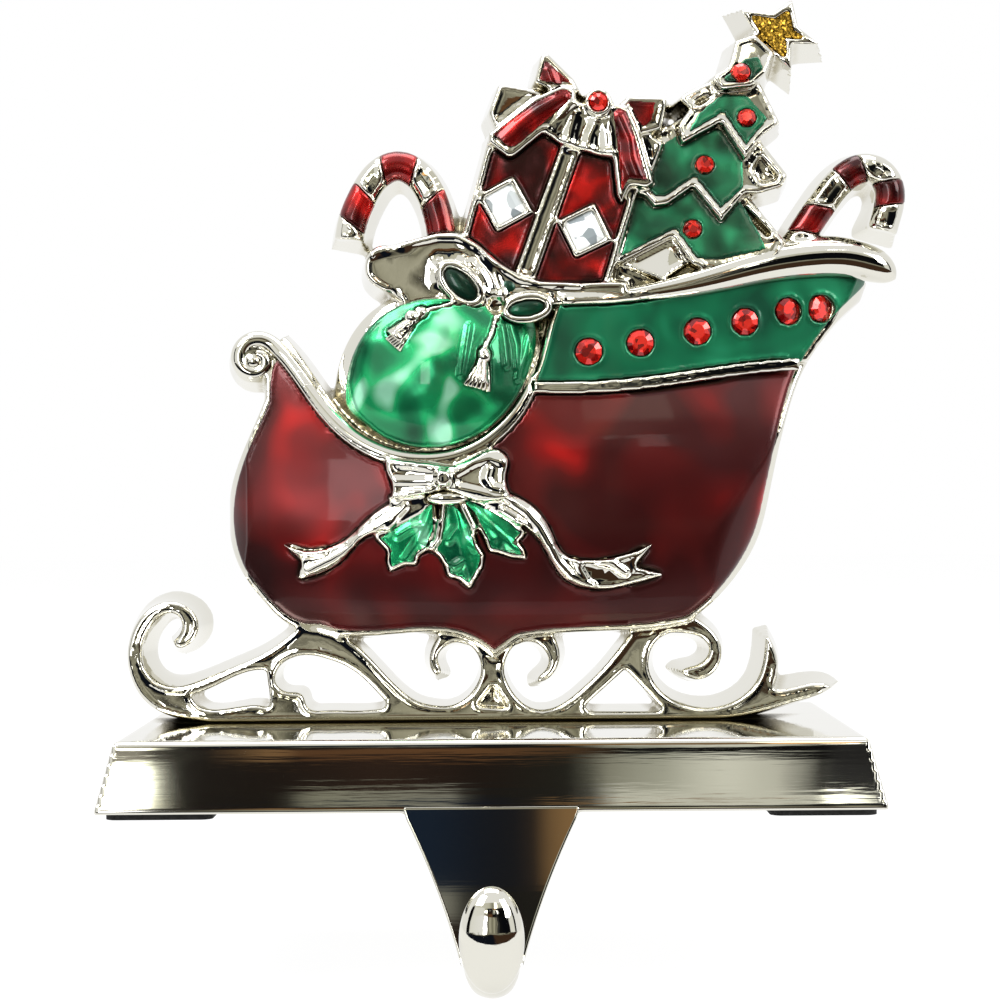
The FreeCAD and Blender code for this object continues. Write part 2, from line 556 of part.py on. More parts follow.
def make_hull():
    rim_footing = 0.2
    hull = drafted(HULL, size("hull_bulge") + 1).common(hull_form())
    rim_top = size("hull_bulge") + 2 * size("rim_radius")
    rim_foot = drafted(strip(NECK_RIM, size("rim_radius")), rim_top).common(belly_form(rim_footing))
    sunk = size("rim_rise") - size("rim_radius")
    rim = tube([at(x, h, belly_bulge(x, h) + sunk) for x, h in NECK_RIM], size("rim_radius"))
    border_top = size("band_bulge") + 3 * size("border_radius")
    border = straight(strip(BORDER, size("border_radius")), border_top, border_top)
    border = border.common(band_form(size("border_radius")))
    return fused([hull, rim_foot, rim, border, make_scroll(), make_rail()])


def make_scroll():
    """The curled end of the swan neck: a drum, the rim's last turn on it, and its eye."""
    bulge = belly_bulge(*NECK_RIM[0]) + size("rim_rise") - size("rim_radius")
    drum = cone_between(
        at(*SCROLL_AT, bulge), at(*SCROLL_AT, -size("casting_depth")),
        size("scroll_radius"), size("scroll_radius") + size("draft_spread"),
    )
    coil_radius = size("scroll_radius") - size("rim_radius")
    coil = Part.makeTorus(coil_radius, size("rim_radius"), at(*SCROLL_AT, bulge), Vector(0, 1, 0))
    eye = ball(SCROLL_AT[0], SCROLL_AT[1], bulge + size("rim_radius") / 3, size("rim_radius"))
    return fused([drum, coil, eye])


def make_rail():
    """The rolled rail on the sleigh's back, thin at the neck and full at the end."""
    furthest_back = -3.0
    stations = [
        at(x, h, max(band_bulge(x, h), furthest_back) + size("rail_radius") * share / 3)
        for x, h, share in RAIL
    ]
    sections = []
    for i, (x, h, share) in enumerate(RAIL):
        heading = stations[min(i + 1, len(RAIL) - 1)] - stations[max(i - 1, 0)]
        circle = Part.makeCircle(size("rail_radius") * share, stations[i], heading)
        sections.append(Part.Wire([circle]))
    rail = Part.makeLoft(sections, True, False)
    return rail.fuse(ball(*RAIL_END, furthest_back + 1, size("rail_end_radius")))


# Casting: the sack, its mouth and its cord.


def oval(centre, half_long, half_short, turn, bulge, depth):
    middle = at(*centre, bulge)
    long_way = Vector(math.cos(math.radians(turn)), 0, math.sin(math.radians(turn)))
    short_way = Vector(-long_way.z, 0, long_way.x)
    ellipse = Part.Ellipse(middle + long_way * half_long, middle + short_way * half_short, middle)
    return Part.Face(Part.Wire([ellipse.toShape()])).extrude(Vector(0, depth, 0))


def cord_along(points, radius):
    """A thin cord as straight runs with a ball at each joint."""
    runs = [Part.makeSphere(radius, point) for point in points[1:-1]]
    for start, end in zip(points, points[1:]):
        runs.append(Part.makeCylinder(radius, (end - start).Length, start, end - start))
    return fused(runs)


def sack_surface(x, rise):
    aside, above = across(x - SACK_MIDDLE[0]), up(rise) - up(SACK_MIDDLE[1])
    radius = size("sack_radius")
    return size("sack_bulge") - radius + math.sqrt(radius**2 - aside**2 - above**2)


def make_sack():
    belly = drafted(SACK, size("sack_bulge") + 1).common(sack_form())
    mouth = drafted(MOUTH, size("mouth_bulge"))
    cord = size("cord_radius")
    front = size("mouth_bulge")
    pieces = [belly, mouth, ball(*KNOT, front + cord, 2.4 * cord)]
    hem = size("hem_radius")
    pieces.append(cord_along([at(x, h, front - hem / 3) for x, h in HEM], hem))
    gather_start, gather_end = 0.4, 0.8
    for x, rise in GATHER_ENDS:
        pieces.append(cone_between(at(*KNOT, front), at(x, rise, front - gather_end / 2),
                                   gather_start, gather_end))
    for centre, half_long, half_short, turn in (LEFT_LOOP, RIGHT_LOOP):
        outer = oval(centre, half_long + cord, half_short + cord, turn, front + 2 * cord, 3 * cord)
        inner = oval(centre, half_long - cord, half_short - cord, turn, front + 3 * cord, 5 * cord)
        pieces.append(outer.cut(inner))
    for route in (LEFT_CORD, RIGHT_CORD):
        points = [at(x, h, max(sack_surface(x, h), front * 0.8) + cord / 2) for x, h in route]
        pieces.append(cord_along(points, cord))
    bead, tassel_start, tassel_end = 2.1 * cord, 1.4 * cord, 3.3 * cord
    for top, bottom in TASSELS:
        hang = at(*top, sack_surface(*top) + cord / 2)
        tip = at(*bottom, sack_surface(*bottom) + cord / 2)
        pieces.append(Part.makeSphere(bead, hang))
        pieces.append(cone_between(hang, tip, tassel_start, tassel_end))
    return fused(pieces)


# Casting: the gift and its bow.


def square(centre, side, turn):
    angle = math.radians(turn)
    half = side / 2
    stretch = PATTERN_LENGTH / size("sleigh_length")
    lift = PATTERN_HEIGHT / size("sleigh_height")
    points = []
    for along, aside in ((-half, -half), (half, -half), (half, half), (-half, half)):
        points.append((
            centre[0] + stretch * (along * math.cos(angle) - aside * math.sin(angle)),
            centre[1] + lift * (along * math.sin(angle) + aside * math.cos(angle)),
        ))
    return polygon(*points)


def make_gift():
    front = size("gift_bulge")
    raised = front + size("ribbon_bulge")
    pieces = [drafted(GIFT, front)]
    for bar in GIFT_BARS:
        pieces.append(straight(bar, raised, size("ribbon_bulge") + 1))
    for centre, turn in FRAMES:
        side = size("square_stone_side")
        inner = square(centre, side + 2 * size("stone_clearance"), turn)
        outer = square(centre, side + 2 * FRAME_BAR, turn)
        depth = size("ribbon_bulge") + 1
        ring = straight(outer, raised + 0.3, depth).cut(straight(inner, raised + 1, depth + 2))
        pieces.append(ring)
    bow = size("bow_bulge")
    pieces.append(drafted(BOW_LEFT_BOX, bow - 1.5))
    pieces.append(drafted(BOW_TOP_LOOP, bow - 1))
    pieces.append(drafted(BOW_RIGHT_LOOP, bow - 1))
    pieces.append(drafted(BOW_LEFT_TAIL, bow))
    pieces.append(drafted(BOW_RIGHT_TAIL, bow))
    pieces.append(drafted(BOW_DRAPE, bow - 0.5))
    pieces.append(drafted(BOW_POINT, bow - 2))
    pieces.append(cone_between(at(*BOW_GEM, bow + 0.6), at(*BOW_GEM, 0),
                               size("small_stone_radius") + 0.8, size("small_stone_radius") + 1.6))
    return fused(pieces)


# Casting: the tree with its star, and the canes.


def tier_bulge(number):
    step = 0.6
    return size("tree_bulge") + step * number


def facet(*points):
    """A block behind one flat facet, from points of the pattern with their bulges."""
    face = Part.Face(Part.makePolygon([at(*point) for point in points + points[:1]]))
    return face.extrude(Vector(0, size("casting_depth") / 2, 0))


def make_tree():
    foot_bulge = size("tree_bulge") - 2.2
    ridge_rise = 2.6
    ridge = (*FOOT_RIDGE, foot_bulge + ridge_rise)
    left, top, right = [(x, rise, foot_bulge) for x, rise in (TREE_FOOT[1][0], TREE_FOOT[2][0],
                                                              TREE_FOOT[3][0])]
    pieces = [drafted(TREE_FOOT, foot_bulge), facet(left, top, ridge), facet(top, right, ridge)]
    hollow_depth = 2.0
    for number, outline in enumerate(TIERS):
        bulge = tier_bulge(number)
        slab = drafted(outline, bulge + 1)
        tier = slab.common(leaning_form(bulge, TIER_HEM[number]))
        hollows = [
            drafted(hollow, bulge, -hollow_depth / 4, hollow_depth + 1)
            for hollow, tier_number in TIER_HOLLOWS if tier_number == number
        ]
        pieces.append(tier.cut(hollows) if hollows else tier)
    pieces.append(drafted(STAR, size("star_bulge")))
    return fused(pieces)


def cane_bead(name, radius):
    middle_bulge = size("cane_bulge") - size("cane_radius")
    return tube([at(x, h, middle_bulge) for x, h in CANES[name]], radius)


def cane_pieces(name):
    """The bare cane, and the enamel of its stripes let into the round front."""
    radius, enamel = size("cane_radius"), size("enamel_thickness")
    middle_bulge = size("cane_bulge") - radius
    narrower = 0.25
    web = drafted(strip(CANES[name], radius - narrower), middle_bulge, size("curl_draft"))
    bead = cane_bead(name, radius)
    shell = bead.cut(cane_bead(name, radius - enamel))
    cane = bead.fuse(web)
    front_half = size("cane_bulge") + 1 - middle_bulge - narrower
    bands = [straight(outline, size("cane_bulge") + 1, front_half) for outline in STRIPES[name]]
    stripes = shell.common(fused(bands))
    return cane.cut(stripes), stripes


# Casting: the small bow and the holly on the belly.


def make_holly():
    top = size("hull_bulge") + 6
    depth = 9.0
    pieces = []
    leaf_form = belly_form(size("leaf_rise"))
    for outline in LEAVES:
        pieces.append(straight(outline, top, depth + 3).common(leaf_form))
    tail_form = belly_form(size("tail_rise"))
    for outline in BOW_TAILS:
        pieces.append(straight(outline, top, depth + 3).common(tail_form))
    bow_form = belly_form(size("small_bow_rise"))
    for outline in BOW_LOOPS:
        pieces.append(straight(outline, top, depth).common(bow_form))
    knot_radius = 2.0
    pieces.append(ball(*BOW_KNOT, belly_bulge(*BOW_KNOT) + size("small_bow_rise"), knot_radius))
    return fused(pieces)


# Stones: a flat back, an upright girdle and a faceted crown.


def stone(outline_radius, facets):
    seat = size("stone_seat")
    table_share = 0.55
    girdle = seat + 0.25

    def ring(radius, height):
        points = []
        for i in range(facets + 1):
            angle = 2 * math.pi * (i + 0.5) / facets
            points.append(Vector(radius * math.cos(angle), radius * math.sin(angle), height))
        return Part.makePolygon(points)

    low = Part.makeLoft([ring(outline_radius, 0), ring(outline_radius, girdle)], True, True)
    crown = Part.makeLoft(
        [ring(outline_radius, girdle), ring(outline_radius * table_share, size("stone_height"))],
        True, True,
    )
    return low.fuse(crown).removeSplitter()


def stone_place(x, rise, bulge, turn=0.0, lean=0.0):
    """Where a stone's flat back lies: its axis out of the casting, turned to the side or up."""
    outwards = Vector(
        math.sin(math.radians(turn)),
        -math.cos(math.radians(turn)) * math.cos(math.radians(lean)),
        math.sin(math.radians(lean)),
    )
    foot = at(x, rise, bulge) - outwards * size("stone_seat")
    return Placement(foot, Rotation(Vector(0, 0, 1), outwards))


def round_seat(place, radius):
    room = 3.0
    seat = Part.makeCylinder(radius + size("stone_clearance"), room)
    seat.Placement = place
    return seat


def band_stone_place(x, rise):
    share = (rise - RIGHT_ROLL[0][1]) / (RIGHT_ROLL[1][1] - RIGHT_ROLL[0][1])
    beyond = across(x - RIGHT_ROLL[0][0] - share * (RIGHT_ROLL[1][0] - RIGHT_ROLL[0][0]))
    most = 0.9
    turn = math.degrees(math.asin(min(max(beyond / size("hull_back_radius"), 0.0), most)))
    return stone_place(x, rise, band_bulge(x, rise) + size("enamel_thickness") / 2, turn)


def tree_stone_place(x, rise, tier):
    lean_back = math.tan(math.radians(size("tier_slope"))) * (up(rise) - up(TIER_HEM[tier]))
    bulge = tier_bulge(tier) - lean_back + size("enamel_thickness") / 2
    return stone_place(x, rise, bulge, lean=size("tier_slope"))


stones = {}
for number, (x, rise) in enumerate(BAND_STONES, start=1):
    stones[f"band_stone_{number}"] = (band_stone_place(x, rise), size("stone_radius"))
for number, (x, rise, tier) in enumerate(TREE_STONES, start=1):
    stones[f"tree_stone_{number}"] = (tree_stone_place(x, rise, tier), size("small_stone_radius"))
stones["bow_gem"] = (
    stone_place(*BOW_GEM, size("bow_bulge") + 0.6), size("small_stone_radius"),
)
square_stones = {}
for side_name, (centre, turn) in zip(("left", "right"), FRAMES):
    place = stone_place(*centre, size("gift_bulge") + size("ribbon_bulge") / 2)
    square_stones[f"gift_stone_{side_name}"] = (place, turn)


def square_seat(centre, turn, bulge):
    outline = square(centre, size("square_stone_side") + 2 * size("stone_clearance"), turn)
    room = 3.0
    return straight(outline, bulge + room - size("stone_seat"), room)


# The casting as one solid, with the stones' seats cut into it.
left_cane, left_stripes = cane_pieces("cane_left")
right_cane, right_stripes = cane_pieces("cane_right")
star_fill = straight(STAR, size("star_bulge"), size("enamel_thickness"),
                     -size("enamel_margin"))
seats = [round_seat(place, radius) for place, radius in stones.values()]
square_bulge = size("gift_bulge") + size("ribbon_bulge") / 2
seats += [square_seat(centre, turn, square_bulge) for centre, turn in FRAMES]

stud_points = [
    Vector(side * size("stud_spread") / 2, RELIEF_FRONT + size("casting_depth") / 2, PLATE_TOP)
    for side in (-1, 1)
]
stud_short = 0.3
stud_length = size("base_roof") - stud_short
studs = [
    Part.makeCylinder(size("stud_radius"), stud_length + 1, point - Vector(0, 0, stud_length))
    for point in stud_points
]
screw_holes = [
    Part.makeCylinder(size("screw_radius") + size("screw_clearance"),
                      stud_length + size("screw_top") + size("screw_clearance") + 1,
                      point - Vector(0, 0, stud_length + 1))
    for point in stud_points
]

casting = fused([
    make_runner(), make_hull(), make_sack(), make_gift(), make_tree(), make_holly(), left_cane,
    right_cane,
] + studs)
casting = casting.cut(seats + [star_fill] + screw_holes).removeSplitter()
feature("sleigh_casting", casting.copy())


# Enamel: each field is poured on the finished casting, so it stands on the metal and ends
# against whatever rises through it. The stones' seats pass through it too.
SACK_FIELD_MARGIN = 1.3
GIFT_FIELD = [[(-4.6, 82)], [(0.6, 100)], [(10, 102)], [(21.6, 101)], [(25.4, 92.2)],
              [(20.6, 75.6)], [(3, 75.6)]]
BOW_FIELDS = [
    (polygon((14.6, 109.2), (13, 109.6), (8, 107.3), (0.9, 101.8), (3.6, 99.6), (5, 99.8),
             (9.6, 103.6), (14.6, 107.8)), 0.0),
    (polygon((8.9, 111.2), (9.9, 114.6), (10.4, 114.8), (14.4, 111), (14.8, 109.8)), -1.0),
    (polygon((21.7, 105.6), (22.7, 106.3), (24, 105.7), (25.4, 101.8), (27.7, 93.7),
             (24.3, 94), (23.1, 91.6), (22.6, 98)), 0.0),
    (polygon((23.6, 106.9), (24.7, 107.7), (29.2, 107.5), (28.6, 104.2), (27, 102.9)), -1.0),
]


def poured(shape):
    """An enamel field, cut back to what the casting and the stones leave of it."""
    rest = shape.cut([casting] + seats)
    return rest.removeSplitter()


enamel = size("enamel_thickness")
margin = size("enamel_margin")
deep = 3 * enamel
hull_top = size("hull_bulge") + 2 * enamel + 1
hull_deep = hull_top + size("casting_depth") / 2

tub_field = straight(HULL, hull_top, hull_deep, -size("hull_margin"))
tub_zone = straight(BAND_ZONE, hull_top + 1, hull_deep + 2)
belly_enamel = tub_field.common(belly_form(enamel)).cut(tub_zone)
feature("tub_enamel", poured(belly_enamel))
band_enamel = tub_field.common(band_form(enamel)).common(tub_zone)
feature("band_enamel", poured(band_enamel))

sack_top = size("sack_bulge") + enamel + 1
sack_field = straight(SACK, sack_top, sack_top + size("casting_depth") / 2, -SACK_FIELD_MARGIN)
feature("sack_enamel", poured(sack_field.common(sack_form(enamel))))

holly_fields = [straight(outline, hull_top + 3, hull_top, -margin * 0.6) for outline in LEAVES]
holly_form = belly_form(size("leaf_rise") + enamel / 2)
feature("holly_enamel", poured(fused(holly_fields).common(holly_form)))

gift_enamel = straight(GIFT_FIELD, size("gift_bulge") + enamel, deep)
feature("gift_enamel", poured(gift_enamel))

bow_top = size("bow_bulge") + enamel / 2
bow_fields = [straight(outline, bow_top + shift, deep) for outline, shift in BOW_FIELDS]
feature("bow_enamel", poured(fused(bow_fields)))

tree_fields = []
for number, outline in enumerate(TIER_FIELDS):
    bulge = tier_bulge(number)
    field = straight(outline, bulge + 1, deep + size("casting_depth") / 2)
    tree_fields.append(field.common(leaning_form(bulge, TIER_HEM[number], enamel / 2)))
feature("tree_enamel", poured(fused(tree_fields)))

feature("star_glitter", star_fill)
feature("cane_left_enamel", poured(left_stripes))
feature("cane_right_enamel", poured(right_stripes))


# Stones, each in its seat.
for name, (place, radius) in stones.items():
    round_facets = 12
    made = feature(name, stone(radius, round_facets))
    made.Placement = place
for name, (place, turn) in square_stones.items():
    square_facets = 4
    half_diagonal = size("square_stone_side") / math.sqrt(2)
    made = feature(name, stone(half_diagonal, square_facets))
    made.Placement = place.multiply(Placement(Vector(), Rotation(Vector(0, 0, 1), turn)))


# Base: a flared plinth, hollow underneath, with the arm and its J hook.


def plane_of(body, role):
    return next(part for part in body.Origin.OriginFeatures if part.Role == role)


def rectangle(body, name, height, left, right, front, back):
    """A sketched rectangle at a height, its sides bound to the sheet."""
    sketch = body.newObject("Sketcher::SketchObject", name)
    sketch.AttachmentSupport = [(plane_of(body, "XY_Plane"), "")]
    sketch.MapMode = "FlatFace"
    sketch.setExpression("AttachmentOffset.Base.z", height)
    points = [Vector(-60, 0, 0), Vector(60, 0, 0), Vector(60, 50, 0), Vector(-60, 50, 0)]
    for start, end in zip(points, points[1:] + points[:1]):
        sketch.addGeometry(Part.LineSegment(start, end), False)
    for line in range(4):
        sketch.addConstraint(Sketcher.Constraint("Coincident", line, 2, (line + 1) % 4, 1))
    for line, way in enumerate(("Horizontal", "Vertical", "Horizontal", "Vertical")):
        sketch.addConstraint(Sketcher.Constraint(way, line))
    sides = (
        ("left", "DistanceX", 0, -60, left),
        ("right", "DistanceX", 1, 60, right),
        ("front", "DistanceY", 0, 1, front),
        ("back", "DistanceY", 2, 50, back),
    )
    for label, way, line, value, expression in sides:
        index = sketch.addConstraint(Sketcher.Constraint(way, -1, 1, line, 1, value))
        sketch.renameConstraint(index, label)
        sketch.setExpression(f"Constraints.{label}", expression)
    return sketch


# The slanting skirt and the round on its top edge, as sections: height, then how far inwards.
EDGE_STEPS = (0, 22.5, 45, 67.5, 90)
plinth = doc.addObject("PartDesign::Body", "plinth")
sections = [("Sizes.pad_height", "0")]
for angle in EDGE_STEPS:
    below = 1 - math.sin(math.radians(angle))
    inside = 1 - math.cos(math.radians(angle))
    sections.append((
        f"Sizes.pad_height + Sizes.base_height - Sizes.base_edge_round * {below}",
        f"(Sizes.base_flare + Sizes.base_edge_round * {inside})",
    ))
skirt_sketches = [
    rectangle(
        plinth, f"skirt_{number}", height,
        f"{inset} - Sizes.base_length / 2", f"Sizes.base_length / 2 - {inset}",
        f"{inset} - Sizes.base_overhang", f"Sizes.base_depth - Sizes.base_overhang - {inset}",
    )
    for number, (height, inset) in enumerate(sections)
]
flare = plinth.newObject("PartDesign::AdditiveLoft", "flare")
flare.Profile = skirt_sketches[0]
flare.Sections = skirt_sketches[1:]
flare.Ruled = True
doc.recompute()
hollow_sketch = rectangle(
    plinth, "hollow_outline", "Sizes.pad_height",
    "Sizes.base_land - Sizes.base_length / 2", "Sizes.base_length / 2 - Sizes.base_land",
    "Sizes.base_wall + Sizes.base_flare - Sizes.base_overhang",
    "Sizes.base_depth - Sizes.base_overhang - Sizes.base_flare - Sizes.base_wall",
)
hollow = plinth.newObject("PartDesign::Pocket", "hollow")
hollow.Profile = hollow_sketch
hollow.Reversed = True
hollow.setExpression("Length", "Sizes.base_height - Sizes.base_roof")
plinth.Tip = hollow
doc.recompute()


def bound(kind, name, **expressions):
    """A primitive whose sizes and place are bound to the sheet."""
    made = doc.addObject(kind, name)
    for prop, expression in expressions.items():
        made.setExpression(prop.replace("__", "."), expression)
    return made


bend_rise = "(Sizes.pad_height - Sizes.hook_bend_drop)"
arm_block = bound(
    "Part::Box", "arm_block", Length="Sizes.arm_width", Width="Sizes.arm_thickness",
    Height=f"Sizes.pad_height + Sizes.base_height / 10 - {bend_rise}",
    Placement__Base__x="-Sizes.arm_width / 2", Placement__Base__y="-Sizes.arm_thickness",
    Placement__Base__z=bend_rise,
)

# The arm's front outline: shares of its drop from the skirt, and of its width there.
ARM_NARROWING = ((0.0, 1.0), (0.23, 0.845), (0.45, 0.69), (0.72, 0.53), (1.0, 0.38))
# The hook's bend: degrees round it, then half width and half thickness of its oval section.
BEND_SECTIONS = ((0, 5.9, 2.1), (22, 5.3, 2.1), (45, 4.6, 2.2), (67, 3.9, 2.4), (90, 3.5, 2.5),
                 (115, 3.7, 2.6), (145, 4.4, 2.8), (180, 4.9, 3.0))


def arm_outline():
    skirt = size("pad_height")
    top = skirt + size("base_height") / 2
    wide = size("arm_width") / 2
    drop = size("arm_taper_drop")
    right = [Vector(wide * share, 1, skirt - drop * down) for down, share in ARM_NARROWING]
    left = [Vector(-point.x, point.y, point.z) for point in reversed(right)]
    top_right, top_left = Vector(wide, 1, top), Vector(-wide, 1, top)
    edges = [
        Part.makeLine(top_right, right[0]), curve_through(right), Part.makeLine(right[-1], left[0]),
        curve_through(left), Part.makeLine(left[-1], top_left), Part.makeLine(top_left, top_right),
    ]
    return Part.Face(Part.Wire(edges)).extrude(Vector(0, -2 * size("arm_thickness"), 0))


def bend_middle(angle):
    """A point of the bend's middle line, from the arm round to the tip, and its heading."""
    turned = math.radians(angle)
    centre_y = -size("arm_thickness") / 2 - size("hook_bend_radius")
    centre_z = size("pad_height") - size("hook_bend_drop")
    out = Vector(0, math.cos(turned), -math.sin(turned))
    return Vector(0, centre_y, centre_z) + out * size("hook_bend_radius"), out


def hook_bend():
    sections = []
    for angle, half_width, half_thickness in BEND_SECTIONS:
        middle, out = bend_middle(angle)
        side = Vector(half_width, 0, 0)
        oval_curve = Part.Ellipse(middle + side, middle + out * half_thickness, middle)
        sections.append(Part.Wire([oval_curve.toShape()]))
    return Part.makeLoft(sections, True, False)


arm = doc.addObject("Part::Common", "arm")
arm.Base, arm.Tool = arm_block, feature("arm_front", arm_outline())
knob = bound(
    "Part::Ellipsoid", "knob", Radius1="Sizes.knob_height / 2", Radius2="Sizes.knob_width / 2",
    Radius3="Sizes.knob_thickness / 2",
    Placement__Base__y="-Sizes.arm_thickness / 2 - Sizes.hook_bend_radius * 2",
    Placement__Base__z=bend_rise,
)
stud_holes = []
for side in (-1, 1):
    stud_holes.append(bound(
        "Part::Cylinder", "stud_hole", Radius="Sizes.stud_radius + Sizes.stud_clearance",
        Height="Sizes.base_roof + 2", Placement__Base__x=f"Sizes.stud_spread * {side / 2}",
        Placement__Base__y="Sizes.base_flare - Sizes.base_overhang + Sizes.sleigh_setback"
                           " + Sizes.casting_depth / 2",
        Placement__Base__z="Sizes.pad_height + Sizes.base_height - Sizes.base_roof - 1",
    ))
solid_base = doc.addObject("Part::MultiFuse", "solid_base")
solid_base.Shapes = [plinth, arm, feature("bend", hook_bend()), knob]
holes = doc.addObject("Part::MultiFuse", "stud_holes")
holes.Shapes = stud_holes
base = doc.addObject("Part::Cut", "base_hook")
base.Base, base.Tool = solid_base, holes
base.Label = "base_hook"


# Pads under the two solid ends of the base.
for side_name, near in (("left", -1), ("right", 1)):
    body = doc.addObject("PartDesign::Body", f"non_slip_pad_{side_name}")
    outer = f"{near} * (Sizes.base_length / 2 - Sizes.pad_inset)"
    inner = f"{near} * (Sizes.base_length / 2 - Sizes.pad_inset - Sizes.pad_length)"
    left, right = (outer, inner) if near < 0 else (inner, outer)
    outline = rectangle(body, f"pad_outline_{side_name}", "0 mm", left, right,
                        "Sizes.pad_front", "Sizes.pad_front + Sizes.pad_depth")
    sheet_of_foam = body.newObject("PartDesign::Pad", f"pad_{side_name}")
    sheet_of_foam.Profile = outline
    sheet_of_foam.setExpression("Length", "Sizes.pad_height")
    doc.recompute()
    upright = [
        f"Edge{number}" for number, edge in enumerate(sheet_of_foam.Shape.Edges, start=1)
        if edge.Vertexes[0].X == edge.Vertexes[1].X and edge.Vertexes[0].Y == edge.Vertexes[1].Y
    ]
    corner_round = body.newObject("PartDesign::Fillet", f"pad_corners_{side_name}")
    corner_round.Base = (sheet_of_foam, upright)
    corner_round.setExpression("Radius", "Sizes.pad_corner")
    body.Tip = corner_round
    body.Label = f"non_slip_pad_{side_name}"

# Hidden screws, from under the plate into the studs.
screws = []
for side in (-1, 1):
    under_roof = "Sizes.pad_height + Sizes.base_height - Sizes.base_roof"
    place = {
        "Placement__Base__x": f"Sizes.stud_spread * {side / 2}",
        "Placement__Base__y": "Sizes.base_flare - Sizes.base_overhang + Sizes.sleigh_setback"
                              " + Sizes.casting_depth / 2",
    }
    screws.append(bound(
        "Part::Cylinder", "screw_head", Radius="Sizes.screw_head_radius",
        Height="Sizes.screw_head_height",
        Placement__Base__z=f"{under_roof} - Sizes.screw_head_height", **place,
    ))
    screws.append(bound(
        "Part::Cylinder", "screw_shank", Radius="Sizes.screw_radius",
        Height="Sizes.screw_head_height / 2 + Sizes.base_roof + Sizes.screw_top",
        Placement__Base__z=f"{under_roof} - Sizes.screw_head_height / 2", **place,
    ))
base_screws = doc.addObject("Part::MultiFuse", "base_screws")
base_screws.Shapes = screws
base_screws.Label = "base_screws"


# Check every sub-part and write it out.
NODES = ["base_hook", "sleigh_casting", "base_screws", "non_slip_pad_left", "non_slip_pad_right",
         "tub_enamel", "band_enamel", "sack_enamel", "holly_enamel", "gift_enamel", "bow_enamel",
         "tree_enamel", "star_glitter", "cane_left_enamel", "cane_right_enamel"]
NODES += list(stones) + list(square_stones)

doc.recompute()
for item in doc.Objects:
    if "Invalid" in item.State or "Error" in item.State:
        raise RuntimeError(f"{item.Label} didn't build: {item.State}")
os.makedirs("parts", exist_ok=True)
for node in NODES:
    sub_part = doc.getObjectsByLabel(node)[0]
    shape = sub_part.Shape
    if shape.isNull() or not shape.isValid() or not shape.Solids:
        raise RuntimeError(f"{node} has no sound solid")
    shape.exportStep(f"parts/{node}.step")
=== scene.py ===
"""Mantel stocking holder: a plated sleigh with enamel fills and set stones, on a heavy base
with a J hook. Metres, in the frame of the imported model: Z = 0 is the shelf's top, Y = 0 its
front face, and the room is on the -Y side.
"""

import math

import bpy
import numpy as np
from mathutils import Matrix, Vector
from mathutils.kdtree import KDTree


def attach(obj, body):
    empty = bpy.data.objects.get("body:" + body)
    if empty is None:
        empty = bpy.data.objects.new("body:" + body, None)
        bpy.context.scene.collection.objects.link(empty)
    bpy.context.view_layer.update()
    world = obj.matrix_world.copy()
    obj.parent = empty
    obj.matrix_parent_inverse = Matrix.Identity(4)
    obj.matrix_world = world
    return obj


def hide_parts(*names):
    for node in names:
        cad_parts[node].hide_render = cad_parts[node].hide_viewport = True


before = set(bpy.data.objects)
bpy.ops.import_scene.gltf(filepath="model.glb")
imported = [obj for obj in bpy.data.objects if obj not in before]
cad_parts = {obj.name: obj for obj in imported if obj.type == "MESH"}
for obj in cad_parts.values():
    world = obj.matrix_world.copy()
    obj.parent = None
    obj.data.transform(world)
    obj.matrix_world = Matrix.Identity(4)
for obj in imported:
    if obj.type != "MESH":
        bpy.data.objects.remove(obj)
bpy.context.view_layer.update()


# The sleigh is one die casting in zinc alloy: the scroll runner, the belly, the sack, the gift,
# the tree and the canes. The mould and the polishing round every edge, each face keeps a thin
# raised lip along its outline, and the whole is plated in bright nickel.


def linear(code):
    """An sRGB hex colour as the linear colour that Blender's sockets hold."""
    parts = [int(code[i : i + 2], 16) / 255 for i in (1, 3, 5)]
    curve = [c / 12.92 if c <= 0.04045 else ((c + 0.055) / 1.055) ** 2.4 for c in parts]
    return (*curve, 1.0)


def node(tree, kind, sockets=(), links=(), stops=(), **settings):
    """Adds a node: socket values by name or number, links as (socket, other node, its output),
    and a colour ramp's stops as (place, hex colour)."""
    added = tree.nodes.new(kind)
    for name, value in settings.items():
        setattr(added, name, value)
    for name, value in sockets:
        added.inputs[name].default_value = value
    for name, other, output in links:
        tree.links.new(other.outputs[output], added.inputs[name])
    if stops:
        elements = added.color_ramp.elements
        elements[0].position, elements[-1].position = stops[0][0], stops[-1][0]
        for place, _ in stops[1:-1]:
            elements.new(place)
        for element, (_, code) in zip(elements, stops):
            element.color = linear(code)
    return added


def new_material(name):
    material = bpy.data.materials.new(name)
    material.use_nodes = True
    tree = material.node_tree
    tree.nodes.clear()
    return material, tree


# The plate's finish: the size of its grain, how much a brush draws that out, how far from a
# corner its colour and roughness change, and colour and roughness from such a corner to the open
# face: darker, warmer and rougher at the corner.
GRAIN_MM, BRUSHED_STRETCH, CORNER_REACH_MM = 0.7, 0.04, 2.5
CORNER_TO_OPEN_TONE = [(0.2, "#6A6146"), (0.55, "#B5AE96"), (0.85, "#DEDCD2")]
DULL, POLISHED = 0.3, 0.035


